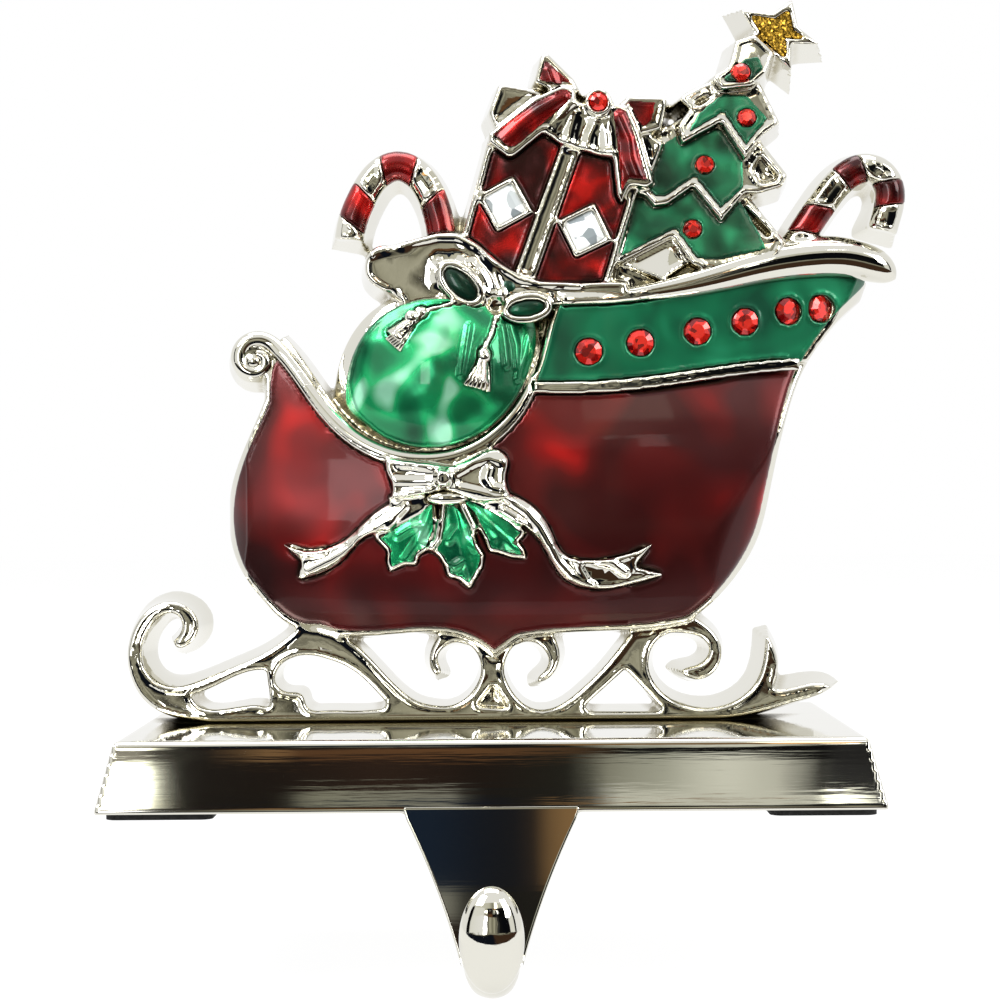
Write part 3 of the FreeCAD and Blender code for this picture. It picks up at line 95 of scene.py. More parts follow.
def bright_nickel(name, wave_mm, wave_depth_mm, grain_depth_mm, brushed):
    """Bright nickel plate on polished zinc: mirror-like, with the slow waves and the fine grain
    that polishing leaves, drawn out lengthwise where it was brushed, and darker, warmer and
    rougher within a few mm of a corner."""
    material, tree = new_material(name)
    place = node(tree, "ShaderNodeTexCoord")
    waves = node(tree, "ShaderNodeTexNoise", [("Scale", 1000 / wave_mm), ("Detail", 2.0)],
                 [("Vector", place, "Object")])
    stretch = BRUSHED_STRETCH if brushed else 1.0
    along = node(tree, "ShaderNodeMapping", [("Scale", (stretch, 1.0, 1.0))],
                 [("Vector", place, "Object")])
    grain = node(tree, "ShaderNodeTexNoise", [("Scale", 1000 / GRAIN_MM), ("Detail", 3.0)],
                 [("Vector", along, "Vector")])
    wave_bump = node(tree, "ShaderNodeBump",
                     [("Strength", 1.0), ("Distance", wave_depth_mm / 1000)],
                     [("Height", waves, "Fac")])
    bump = node(tree, "ShaderNodeBump", [("Strength", 1.0), ("Distance", grain_depth_mm / 1000)],
                [("Height", grain, "Fac"), ("Normal", wave_bump, "Normal")])
    # Within this reach of a corner the colour turns darker and warmer and the plate rougher.
    recess = node(tree, "ShaderNodeAmbientOcclusion", [("Distance", CORNER_REACH_MM / 1000)],
                  samples=8)
    tone = node(tree, "ShaderNodeValToRGB", links=[("Fac", recess, "AO")], stops=CORNER_TO_OPEN_TONE)
    dullness = node(tree, "ShaderNodeMapRange", [("From Min", 0.25), ("From Max", 0.75),
                                                  ("To Min", DULL), ("To Max", POLISHED)],
                    [("Value", recess, "AO")])
    shader = node(tree, "ShaderNodeBsdfPrincipled", [("Metallic", 1.0)],
                  [("Base Color", tone, "Color"), ("Roughness", dullness, "Result"),
                   ("Normal", bump, "Normal")])
    node(tree, "ShaderNodeOutputMaterial", links=[("Surface", shader, "BSDF")])
    return material


def only(piece):
    bpy.ops.object.select_all(action="DESELECT")
    piece.select_set(True)
    bpy.context.view_layer.objects.active = piece


def apply_modifier(piece, kind, **settings):
    only(piece)
    modifier = piece.modifiers.new(kind.title(), kind)
    for name, value in settings.items():
        setattr(modifier, name, value)
    bpy.ops.object.modifier_apply(modifier=modifier.name)


def skin_of(cad_node, name, voxel_mm, smoothing):
    """A polished skin over a node's solid: its copy, merged, remeshed and smoothed."""
    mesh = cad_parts[cad_node].data.copy()
    mesh.materials.clear()
    piece = bpy.data.objects.new(name, mesh)
    bpy.context.scene.collection.objects.link(piece)
    only(piece)
    bpy.ops.object.mode_set(mode="EDIT")
    bpy.ops.mesh.select_all(action="SELECT")
    bpy.ops.mesh.remove_doubles(threshold=1e-6)
    bpy.ops.object.mode_set(mode="OBJECT")
    apply_modifier(piece, "REMESH", mode="VOXEL", voxel_size=voxel_mm / 1000)
    apply_modifier(piece, "SMOOTH", factor=0.5, iterations=smoothing)
    return piece


def points_of(piece):
    count = len(piece.data.vertices)
    flat = np.empty(count * 3)
    piece.data.vertices.foreach_get("co", flat)
    return flat.reshape(count, 3)


def normals_of(piece):
    count = len(piece.data.vertices)
    flat = np.empty(count * 3, dtype=np.float32)
    piece.data.vertex_normals.foreach_get("vector", flat)
    return flat.reshape(count, 3)


def set_points(piece, points):
    piece.data.vertices.foreach_set("co", points.ravel())
    piece.data.update()


# The Y of its normal below which a face counts as a front, and below which fold lines mark it.
FRONT_FACE, MARKED_FACE = -0.75, -0.4


def from_the_edge(piece, reach_mm):
    """For each point of a front face, how far its outline is, in mm, up to the reach."""
    points, normals = points_of(piece), normals_of(piece)
    faces_front = normals[:, 1] < FRONT_FACE
    walls = np.flatnonzero(~faces_front)
    tree = KDTree(len(walls))
    for i in walls:
        tree.insert(points[i], i)
    tree.balance()
    distance = np.full(len(points), 0.0)
    for i in np.flatnonzero(faces_front):
        distance[i] = min(tree.find(points[i])[2] * 1000, reach_mm)
    return points, faces_front, distance


def raise_lip(piece, rise_mm, middle_mm, width_mm):
    """A raised lip that follows the outline of every front face, a little inside it."""
    points, faces_front, distance = from_the_edge(piece, 4 * width_mm + middle_mm)
    bead = np.exp(-(((distance - middle_mm) / width_mm) ** 2))
    points[faces_front, 1] -= rise_mm / 1000 * bead[faces_front]
    set_points(piece, points)


def press_ridges(piece, lines, half_width_mm, rise_mm):
    """Raises a soft ridge along each line on the front, or sinks it if the rise is negative."""
    points, normals = points_of(piece), normals_of(piece)
    flat = points[:, (0, 2)] * 1000
    lift = np.zeros(len(points))
    for line in lines:
        for start, end in zip(line, line[1:]):
            start, along = np.array(start), np.array(end) - np.array(start)
            share = np.clip((flat - start) @ along / (along @ along), 0, 1)
            distance = np.linalg.norm(flat - start - share[:, None] * along, axis=1)
            ridge = np.clip(1 - (distance / half_width_mm) ** 2, 0, 1)
            lift = np.maximum(lift, ridge)
    lift[normals[:, 1] > MARKED_FACE] = 0
    points[:, 1] -= rise_mm / 1000 * lift
    set_points(piece, points)


def even_out(piece, corners, rounds):
    """Smooths the front between two corners, X and Z in mm, as a file evens out a cast face."""
    points, normals = points_of(piece), normals_of(piece)
    flat = points[:, (0, 2)] * 1000
    chosen = np.all((flat > corners[0]) & (flat < corners[1]), axis=1) & (normals[:, 1] < 0)
    group = piece.vertex_groups.new(name="evened")
    group.add([int(i) for i in np.flatnonzero(chosen)], 1.0, "REPLACE")
    apply_modifier(piece, "SMOOTH", factor=0.5, iterations=rounds, vertex_group="evened")
    piece.vertex_groups.clear()


def thin_out(piece, most_triangles):
    piece.data.calc_loop_triangles()
    share = most_triangles / len(piece.data.loop_triangles)
    if share < 1:
        apply_modifier(piece, "DECIMATE", ratio=share)


def dress(piece, material, cad_nodes):
    """Gives a finished piece its material and its place in the table."""
    piece.data.materials.clear()
    piece.data.materials.append(material)
    only(piece)
    bpy.ops.object.shade_smooth()
    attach(piece, "root")
    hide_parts(*cad_nodes)


CASTING_TRIANGLES = 190000
nickel = bright_nickel("bright nickel on cast zinc", wave_mm=4.5, wave_depth_mm=0.028,
                       grain_depth_mm=0.004, brushed=False)
casting = skin_of("sleigh_casting", "sleigh_skin", voxel_mm=0.34, smoothing=3)
raise_lip(casting, rise_mm=0.24, middle_mm=0.55, width_mm=0.32)
# Folds as lines on the front, X and Z in mm: the drape of the gift's bow.
DRAPE_FOLDS = [
    [(14.4, 119.8), (12.6, 117.0), (10.4, 114.5)],
    [(15.2, 118.4), (14.4, 115.7), (13.9, 113.1)],
    [(18.9, 117.0), (17.8, 114.6), (17.3, 112.2)],
    [(20.2, 116.7), (20.6, 114.3), (20.8, 111.7)],
]
# The pleats of the small bow on the belly.
BOW_PLEATS = [
    [(-9.9, 57.2), (-13.0, 57.7), (-15.5, 57.9)],
    [(-9.9, 55.0), (-13.0, 55.0), (-16.1, 55.1)],
    [(-10.2, 53.2), (-13.3, 52.9), (-16.1, 52.0)],
    [(-5.4, 56.5), (-2.7, 58.0), (0.0, 58.9), (1.9, 58.2)],
    [(-0.1, 57.2), (-0.6, 55.5), (0.4, 53.9), (2.1, 53.4)],
    [(-5.4, 53.9), (-2.0, 53.1), (2.3, 52.0)],
]
# The two edges of its knot.
KNOT_PLEATS = [
    [(-8.5, 57.5), (-8.8, 55.5), (-8.5, 53.4)],
    [(-6.3, 57.3), (-5.9, 55.5), (-6.3, 53.4)],
]
# The stems of the leaves that hang from it.
STEMS = [
    [(-8.0, 51.7), (-8.4, 48.3), (-8.9, 45.2), (-10.3, 43.3)],
    [(-4.6, 50.8), (-3.4, 48.3), (-2.4, 46.2)],
]
# Gathers of cloth from the cord's knot up to the sack's mouth.
GATHERS = [
    [(1.8, 86.3), (-0.3, 90.1), (-2.8, 92.9)],
    [(2.4, 87.4), (1.1, 91.2), (-0.7, 93.6)],
    [(1.1, 85.6), (-1.5, 89.1), (-3.1, 91.2)],
]
# The folds of the small bow's two tails.
TAIL_FOLDS = [
    [(-15.9, 49.6), (-18.8, 47.6), (-21.9, 45.9), (-24.3, 43.5), (-27.4, 41.7), (-31.6, 39.7)],
    [(-34.3, 44.0), (-32.1, 42.8), (-28.8, 42.8)],
    [(-14.6, 50.8), (-16.3, 49.1), (-17.5, 47.1)],
    [(3.1, 51.7), (6.2, 49.6), (8.6, 46.9), (10.2, 44.0), (11.7, 41.1), (14.1, 38.5), (17.5, 36.9)],
    [(2.3, 50.0), (4.5, 48.6), (6.6, 46.2), (7.6, 44.0)],
    [(14.6, 41.4), (15.5, 39.3), (16.3, 38.0)],
    [(18.9, 41.1), (21.3, 40.4), (23.2, 39.0)],
]
# The sack's mouth turns outwards in one smooth collar: its open part, and the part by the gift.
COLLAR, COLLAR_BY_GIFT = ((-17.5, 87.0), (-8.9, 95.6)), ((-9.6, 93.4), (-3.0, 96.0))
press_ridges(casting, DRAPE_FOLDS, half_width_mm=1.2, rise_mm=0.5)
press_ridges(casting, BOW_PLEATS, half_width_mm=0.85, rise_mm=0.55)
press_ridges(casting, KNOT_PLEATS, half_width_mm=0.5, rise_mm=0.4)
press_ridges(casting, STEMS, half_width_mm=0.8, rise_mm=1.0)
even_out(casting, COLLAR, rounds=120)
even_out(casting, COLLAR_BY_GIFT, rounds=60)
press_ridges(casting, GATHERS, half_width_mm=0.9, rise_mm=0.45)
apply_modifier(casting, "SMOOTH", factor=0.5, iterations=3)
press_ridges(casting, TAIL_FOLDS, half_width_mm=0.95, rise_mm=0.7)
thin_out(casting, CASTING_TRIANGLES)
dress(casting, nickel, ["sleigh_casting"])


# The base is a second zinc casting under the same plate, brushed lengthwise before plating. The
# skirt's walls are drawn in a little above their foot, and the arm and the hook are cast with it.
# In metres: the hollow's middle, half height and depth, the walls that have it, and the end of
# the hook, whose tip is drawn further to the room.
BASE_MIDDLE_Z, BASE_HALF_HEIGHT, HOLLOW_DEPTH = 0.0072, 0.0057, 0.0001
SKIRT_FRONT, SKIRT_BACK, SKIRT_END = 0.0005, 0.0655, 0.0605
TIP_FROM, TIP_BLEND, TIP_BELOW, TIP_DRAW = -0.0095, 0.004, -0.001, 0.0025
# A face is a wall while the Z of its normal is less than this.
WALL_FACE, BASE_TRIANGLES = 0.5, 120000
base_nickel = bright_nickel("bright nickel on the cast base", wave_mm=26.0, wave_depth_mm=0.05,
                            grain_depth_mm=0.0055, brushed=True)
base = skin_of("base_hook", "base_skin", voxel_mm=0.4, smoothing=2)
points, normals = points_of(base), normals_of(base)
upright = np.abs(normals[:, 2]) < WALL_FACE
upright &= points[:, 2] > BASE_MIDDLE_Z - BASE_HALF_HEIGHT
hollowing = np.clip(1 - ((points[:, 2] - BASE_MIDDLE_Z) / BASE_HALF_HEIGHT) ** 2, 0, 1)
outside = (points[:, 1] < SKIRT_FRONT) | (points[:, 1] > SKIRT_BACK)
outside |= np.abs(points[:, 0]) > SKIRT_END
inwards = HOLLOW_DEPTH * hollowing * -np.sign(normals[:, 1])
points[upright & outside, 1] += inwards[upright & outside]
tip = np.clip((TIP_FROM - points[:, 1]) / TIP_BLEND, 0, 1) * (points[:, 2] < TIP_BELOW)
points[:, 1] -= TIP_DRAW * tip
set_points(base, points)
thin_out(base, BASE_TRIANGLES)
dress(base, base_nickel, ["base_hook"])

# The arm is cast with the base. Its face runs out of the skirt's front without a break and leans
# forward as it narrows, so that the plate grows thicker down to the bend. In mm: its face as
# (height, front), the round of its two edges as (inwards, back), and the bend that it ends on.
ARM_TOP, ARM_FRONT = 2.2, -4.65
ARM_HEAD = [(2.5, -4.5), (ARM_TOP, ARM_FRONT), (2.05, -4.696)]
ARM_LEAN, ARM_STEP, ARM_STEPS = 0.306, 1.7, 14
SKIRT_FOOT, ARM_HALF_WIDTH, ARM_TAPER, ARM_TAPER_EASE = 1.5, 14.2, 0.52, 0.0051
ARM_EDGE = [(0.0, 0.35), (0.03, 0.2), (0.1, 0.1), (0.2, 0.03), (0.35, 0.0), (0.55, 0.0)]
BEND_Y, BEND_Z, BEND_RADIUS, INSIDE_BACK = -10.1, -16.0, 10.1, 0.3
levels = ARM_HEAD + [
    (ARM_TOP - ARM_STEP * step, ARM_FRONT - ARM_LEAN * ARM_STEP * step)
    for step in range(1, ARM_STEPS + 1)
]
corners, faces = [], []
for height, front in levels:
    down = max(SKIRT_FOOT - height, 0)
    half_width = ARM_HALF_WIDTH - ARM_TAPER * down + ARM_TAPER_EASE * down**2
    below = max(BEND_Z - height, 0)
    back = BEND_Y + math.sqrt(BEND_RADIUS**2 - below**2) - INSIDE_BACK
    corners += [(inwards - half_width, front + behind, height) for inwards, behind in ARM_EDGE]
    corners += [(half_width - inwards, front + behind, height)
                for inwards, behind in reversed(ARM_EDGE)]
    corners += [(half_width, back, height), (-half_width, back, height)]
ring = 2 * len(ARM_EDGE) + 2
for level in range(len(levels) - 1):
    first = ring * level
    for side in range(ring):
        after = (side + 1) % ring
        faces.append((first + after, first + side, first + side + ring, first + after + ring))
faces.append(tuple(range(ring - 1, -1, -1)))
faces.append(tuple(range(ring * (len(levels) - 1), ring * len(levels))))
mesh = bpy.data.meshes.new("arm_face")
mesh.from_pydata([Vector(corner) / 1000 for corner in corners], [], faces)
arm = bpy.data.objects.new("arm_face", mesh)
bpy.context.scene.collection.objects.link(arm)
arm_nickel = bright_nickel("bright nickel on the arm", wave_mm=26.0, wave_depth_mm=0.014,
                           grain_depth_mm=0.001, brushed=True)
dress(arm, arm_nickel, ["base_hook"])


# Enamel: clear coloured resin, poured over the bright plate and cured. Light goes through it,
# comes back from the metal and leaves a deep, uneven colour under a flat gloss. It climbs the
# metal round each field, where it is thickest and darkest.
# How far that climb reaches, and the run and the strength of the painted shade on a bank, the
# end of a field that turns away to the left, mixed towards the thick edge's dark. A bank at
# X = -200 mm is off the part, and shades nothing.
CLIMB_MM, BANK_RUN_MM, PAINTED_BANK_SHADE, NO_BANK = 1.6, 10, 0.75, -200
FILL_TRIANGLES = 60000


def poured_enamel(name, stops, thick_edge_and_shade_code, patch_mm, depth_mm, metal_roughness, coat=0.5,
                  metallic=0.7, upright=1.0, bank_mm=NO_BANK):
    """Enamel over metal whose folds and waves shine through it, longer upwards if asked, with a
    painted shade towards the left end of a bank.
    """
    material, tree = new_material(name)
    coordinates = node(tree, "ShaderNodeTexCoord")
    place = node(tree, "ShaderNodeMapping", [("Scale", (1.0, 1.0, 1 / upright))],
                 [("Vector", coordinates, "Object")])
    patches = node(tree, "ShaderNodeTexNoise", [("Scale", 1000 / patch_mm), ("Detail", 1.0),
                                                ("Distortion", 0.6)],
                   [("Vector", place, "Vector")])
    colour = node(tree, "ShaderNodeValToRGB", links=[("Fac", patches, "Fac")], stops=stops)
    edge = node(tree, "ShaderNodeAmbientOcclusion", [("Distance", CLIMB_MM / 1000)], samples=8)
    thick = node(tree, "ShaderNodeMapRange", [("From Min", 0.45), ("From Max", 0.82)],
                 [("Value", edge, "AO")])
    shaded = node(tree, "ShaderNodeMix", [("A", linear(thick_edge_and_shade_code))],
                  [("Factor", thick, "Result"), ("B", colour, "Color")], data_type="RGBA")
    # Painted shade: left of the bank's X the colour is mixed towards the thick edge's dark.
    across = node(tree, "ShaderNodeSeparateXYZ", links=[("Vector", coordinates, "Object")])
    bank = node(tree, "ShaderNodeMapRange",
                [("From Min", bank_mm / 1000), ("From Max", (bank_mm - BANK_RUN_MM) / 1000),
                 ("To Max", PAINTED_BANK_SHADE)],
                [("Value", across, "X")])
    shaded = node(tree, "ShaderNodeMix", [("B", linear(thick_edge_and_shade_code))],
                  [("Factor", bank, "Result"), ("A", shaded, "Result")], data_type="RGBA")
    metal_below = node(tree, "ShaderNodeTexNoise", [("Scale", 1000 / (patch_mm * 0.6)),
                                                    ("Detail", 0.0)],
                       [("Vector", place, "Vector")])
    bump = node(tree, "ShaderNodeBump", [("Strength", 1.0), ("Distance", depth_mm / 1000)],
                [("Height", metal_below, "Fac")])
    shader = node(tree, "ShaderNodeBsdfPrincipled",
                  [("Metallic", metallic), ("Roughness", metal_roughness), ("Coat Weight", coat),
                   ("Coat Roughness", 0.03), ("Coat IOR", 1.5)],
                  [("Base Color", shaded, "Result"), ("Normal", bump, "Normal")])
    node(tree, "ShaderNodeOutputMaterial", links=[("Surface", shader, "BSDF")])
    return material


def raise_meniscus(piece, rise_mm, reach_mm):
    """Lets the enamel climb the metal round it; a negative rise crowns its middle instead."""
    points, faces_front, distance = from_the_edge(piece, reach_mm)
    climb = (1 - distance / reach_mm) ** 2
    points[faces_front, 1] -= rise_mm / 1000 * climb[faces_front]
    set_points(piece, points)


RED_STOPS = [(0.34, "#300203"), (0.5, "#5C0405"), (0.62, "#860706"), (0.74, "#C4120C")]
DEEP_RED_STOPS = [(0.4, "#380203"), (0.56, "#540404"), (0.68, "#820706"), (0.8, "#C8120B")]
# The leaves' greens run from mottle to a pale mint; drawn out upwards, the mint makes streaks that
# are painted fold highlights.
LEAF_STOPS_WITH_PAINTED_FOLD_LIGHT = [(0.3, "#04593A"), (0.45, "#0C8D56"), (0.6, "#22BA74"), (0.74, "#9CF5C8")]
# The sack's palest stop, pale mint, is a painted highlight: patches that stand in for the gloss on
# its dome.
SACK_STOPS_WITH_PAINTED_HIGHLIGHT = [(0.34, "#0C5C3A"), (0.48, "#127E4E"), (0.58, "#20B26C"), (0.66, "#A6F0CA")]
TREE_STOPS = [(0.34, "#06301F"), (0.5, "#0E5236"), (0.64, "#1C7A52"), (0.78, "#58B68A")]
BAND_STOPS = [(0.3, "#054A32"), (0.55, "#0B6E48"), (0.75, "#1F8C60")]
# The belly's left roll, left of X = -29 mm, is darkened with painted shade.
deep_red = poured_enamel("deep red enamel", DEEP_RED_STOPS, "#1E0102", patch_mm=16.0,
                         depth_mm=0.5, metal_roughness=0.3, coat=0.16, metallic=0.5, bank_mm=-29)
red_enamel = poured_enamel("red enamel", RED_STOPS, "#260204", patch_mm=6.0, depth_mm=0.4,
                           metal_roughness=0.25)
sack_green = poured_enamel("green enamel of the sack", SACK_STOPS_WITH_PAINTED_HIGHLIGHT, "#04442C", patch_mm=9.5,
                           depth_mm=0.9, metal_roughness=0.25)
# Drawn out upwards so that its pale patches lie as painted fold highlights.
leaf_green = poured_enamel("green enamel with painted fold light", LEAF_STOPS_WITH_PAINTED_FOLD_LIGHT, "#02301E", patch_mm=4.0,
                           depth_mm=0.7, metal_roughness=0.2, upright=2.6)
tree_green = poured_enamel("green enamel of the tree", TREE_STOPS, "#032E1F", patch_mm=7.0,
                           depth_mm=0.5, metal_roughness=0.3)
band_green = poured_enamel("green enamel of the band", BAND_STOPS, "#04402B", patch_mm=9.0,
                           depth_mm=0.2, metal_roughness=0.4)
# Lines on the front as before, X and Z in mm: the veins of the leaves.
LEAF_VEINS = [
    [(-10.1, 50.8), (-11.3, 47.4), (-12.8, 44.0), (-14.7, 41.4)],
    [(-11.3, 47.4), (-14.0, 46.9), (-15.9, 45.7)],
    [(-12.3, 44.8), (-11.0, 44.0)],
    [(-6.0, 50.8), (-5.3, 47.4), (-4.4, 43.1), (-3.2, 38.0)],
    [(-5.3, 47.4), (-7.0, 44.8)],
    [(-4.8, 44.8), (-2.7, 43.5)],
    [(-4.3, 41.4), (-6.0, 40.4)],
    [(-4.1, 50.8), (-1.3, 48.3), (1.8, 45.5), (4.8, 42.9)],
    [(-1.3, 48.3), (-1.0, 45.5)],
    [(1.8, 45.5), (1.4, 43.3)],
]
# Folds of the sack below the gathers.
SACK_FOLDS = [
    [(2.4, 81.7), (2.8, 78.3), (3.1, 74.9)],
    [(3.8, 82.1), (4.8, 78.3), (5.0, 74.4)],
    [(7.1, 80.9), (6.4, 77.4), (5.0, 72.6)],
    [(-3.4, 81.7), (-4.1, 77.4), (-4.8, 73.2)],
]
# One fold along each red ribbon of the gift's bow.
RIBBON_FOLDS = [
    [(13.1, 121.1), (9.3, 119.0), (5.2, 116.1), (2.4, 113.3)],
    [(22.8, 117.7), (24.5, 113.9), (24.9, 110.4), (26.1, 107.0)],
    [(10.7, 125.9), (11.8, 122.5)],
]
# Where the belly turns into its two end rolls; the enamel flows over the turn without a crease.
TUB_LEFT_ROLL = ((-38.0, 26.0), (-28.0, 70.0))
TUB_RIGHT_ROLL = ((24.0, 26.0), (60.0, 78.0))
for cad_node, material, slot in (
    ("tub_enamel", deep_red, "red_enamel"), ("gift_enamel", red_enamel, "red_enamel"),
    ("bow_enamel", red_enamel, "red_enamel"), ("cane_left_enamel", red_enamel, "red_enamel"),
    ("cane_right_enamel", red_enamel, "red_enamel"), ("band_enamel", band_green, "green_enamel"),
    ("sack_enamel", sack_green, "green_enamel"), ("holly_enamel", leaf_green, "green_enamel"),
    ("tree_enamel", tree_green, "green_enamel"),
):
    fill = skin_of(cad_node, cad_node.replace("_enamel", "_fill"), voxel_mm=0.3, smoothing=3)
    if cad_node in ("tub_enamel", "band_enamel", "sack_enamel", "gift_enamel"):
        raise_meniscus(fill, rise_mm=0.4, reach_mm=1.8)
    if cad_node == "tub_enamel":
        even_out(fill, TUB_LEFT_ROLL, rounds=60)
        even_out(fill, TUB_RIGHT_ROLL, rounds=60)
    if cad_node in ("bow_enamel", "holly_enamel"):
        raise_meniscus(fill, rise_mm=-0.4, reach_mm=1.6)
    if cad_node == "holly_enamel":
        press_ridges(fill, LEAF_VEINS, half_width_mm=1.0, rise_mm=0.55)
    if cad_node == "sack_enamel":
        press_ridges(fill, SACK_FOLDS, half_width_mm=0.8, rise_mm=0.6)
    if cad_node == "bow_enamel":
        press_ridges(fill, RIBBON_FOLDS, half_width_mm=1.3, rise_mm=0.6)
    apply_modifier(fill, "SMOOTH", factor=0.5, iterations=3)
    thin_out(fill, FILL_TRIANGLES)
    dress(fill, material, [cad_node])

# The two loops of the sack's cord and the gathers between them hold pools of the same resin,
# poured with the sack's, and deep enough there to look black-green.
# Each pool in mm: X, Z, half length, half width, its turn in degrees, and how far in front of the
# relief's ground its middle lies. The ground's Y is in metres.
POOL_STOPS = [(0.3, "#021F14"), (0.6, "#043524"), (0.8, "#0B6A45")]
pool_green = poured_enamel("green enamel in the cord's loops", POOL_STOPS, "#01140C",
                           patch_mm=6.0, depth_mm=0.3, metal_roughness=0.3)
RELIEF_FRONT, POOL_HALF_DEPTH = 0.0304, 0.8
POOLS = [(-4.8, 89.0, 3.9, 2.0, -45.0, 5.4), (6.6, 84.8, 3.5, 1.6, 8.0, 5.4),
         (3.4, 88.5, 1.5, 1.4, 0.0, 4.6)]
bpy.ops.object.select_all(action="DESELECT")
pools = []
for x_mm, z_mm, half_long, half_short, turn, bulge_mm in POOLS:
    bpy.ops.mesh.primitive_uv_sphere_add(
        segments=48, ring_count=24, radius=0.001,
        location=(x_mm / 1000, RELIEF_FRONT - bulge_mm / 1000, z_mm / 1000),
        rotation=(0, -math.radians(turn), 0), scale=(half_long, POOL_HALF_DEPTH, half_short))
    pools.append(bpy.context.object)
for piece in pools:
    piece.select_set(True)
bpy.ops.object.join()
bpy.ops.object.transform_apply(location=True, rotation=True, scale=True)
pools = bpy.context.object
pools.name = "loop_pools"
dress(pools, pool_green, ["sack_enamel"])


# The cord ends in two tassels, cast with the sleigh and fluted: strands of metal lie side by side
# on each of them, under a bead. In mm: a tassel's top, foot and half width at the foot, a bead's
# place and radius, and the dome of the sack that they lie on.
TASSELS = [((-13.6, 81.6), (-16.5, 78.4), 1.7), ((-1.0, 74.9), (-2.1, 70.8), 2.4)]
BEADS = [(-13.2, 83.2, 1.35), (-0.8, 76.3, 1.25)]
SACK_AT, SACK_RADIUS, SACK_BULGE = (-8.0, 73.5), 24.0, 9.0
STRANDS, STRAND_START, STRAND_END, STRAND_PROUD, TOP_SPREAD = 6, 0.25, 0.42, 0.3, 0.45


def sack_front(x, z):
    """How far in front of the relief's ground the sack's dome stands at this place."""
    fall = SACK_RADIUS**2 - (x - SACK_AT[0]) ** 2 - (z - SACK_AT[1]) ** 2
    return SACK_BULGE - SACK_RADIUS + math.sqrt(fall)


bpy.ops.object.select_all(action="DESELECT")
strands = []
for (top_x, top_z), (low_x, low_z), half_width in TASSELS:
    run = Vector((low_x - top_x, 0, low_z - top_z))
    side_way = Vector((-run.z, 0, run.x)).normalized()
    for number in range(STRANDS):
        share = 2 * (number + 0.5) / STRANDS - 1
        ends = []
        for x, z, spread in ((top_x, top_z, TOP_SPREAD), (low_x, low_z, 1.0)):
            aside = side_way * share * half_width * spread
            x, z = x + aside.x, z + aside.z
            crown = half_width * spread * math.sqrt(1 - share**2)
            front = 1000 * RELIEF_FRONT - sack_front(x, z) - crown - STRAND_PROUD
            ends.append(Vector((x, front, z)) / 1000)
        length = (ends[1] - ends[0]).length
        bpy.ops.mesh.primitive_cone_add(
            vertices=16, radius1=STRAND_START / 1000, radius2=STRAND_END / 1000, depth=length,
            location=(ends[0] + ends[1]) / 2,
            rotation=(ends[1] - ends[0]).to_track_quat("Z", "Y").to_euler())
        strands.append(bpy.context.object)
for x, z, radius in BEADS:
    bpy.ops.mesh.primitive_uv_sphere_add(
        segments=32, ring_count=16, radius=radius / 1000,
        location=(x / 1000, RELIEF_FRONT - (sack_front(x, z) + radius / 2) / 1000, z / 1000))
    strands.append(bpy.context.object)
for piece in strands:
    piece.select_set(True)
bpy.ops.object.join()
bpy.ops.object.transform_apply(location=True, rotation=True, scale=True)
strands = bpy.context.object
strands.name = "tassel_strands"
dress(strands, nickel, ["sleigh_casting"])


# Two round ropes of metal lie on the sleigh's side: the swan neck's rim, from its scroll down and
# up to the rail, and the rail that swells towards the back and ends round. Both are cast with it
# and polished bright. All in mm: first the shape of the side that they lie on.
HULL_MIDDLE, HULL_LEVEL_RADIUS = (3.0, 51.0), 260.0
BELLY_BULGE, BELLY_UPRIGHT_RADIUS = 6.0, 70.0
BAND_BULGE, NO_UPRIGHT_CURVE = 4.2, 1e6
END_BULGE, LEFT_ROLL, LEFT_ROLL_X = 5.2, 14.0, -32.5
RIGHT_ROLL, RIGHT_ROLL_X, RIGHT_ROLL_Z, RIGHT_ROLL_SLANT = 20.0, 22.0, 23.0, 0.373


def side_face(x, z, bulge, upright_radius):
    """Y of the sleigh's side: curved from end to end and upright, and rolled back at its ends."""
    above = z - HULL_MIDDLE[1]
    reach = HULL_LEVEL_RADIUS - upright_radius + math.sqrt(upright_radius**2 - above**2)
    out = bulge - HULL_LEVEL_RADIUS + math.sqrt(reach**2 - (x - HULL_MIDDLE[0]) ** 2)
    right = x - RIGHT_ROLL_X - RIGHT_ROLL_SLANT * (z - RIGHT_ROLL_Z)
    for beyond, radius in ((LEFT_ROLL_X - x, LEFT_ROLL), (right, RIGHT_ROLL)):
        beyond = min(max(beyond, 0), radius)
        out = min(out, END_BULGE - radius + math.sqrt(radius**2 - beyond**2))
    return 1000 * RELIEF_FRONT - out


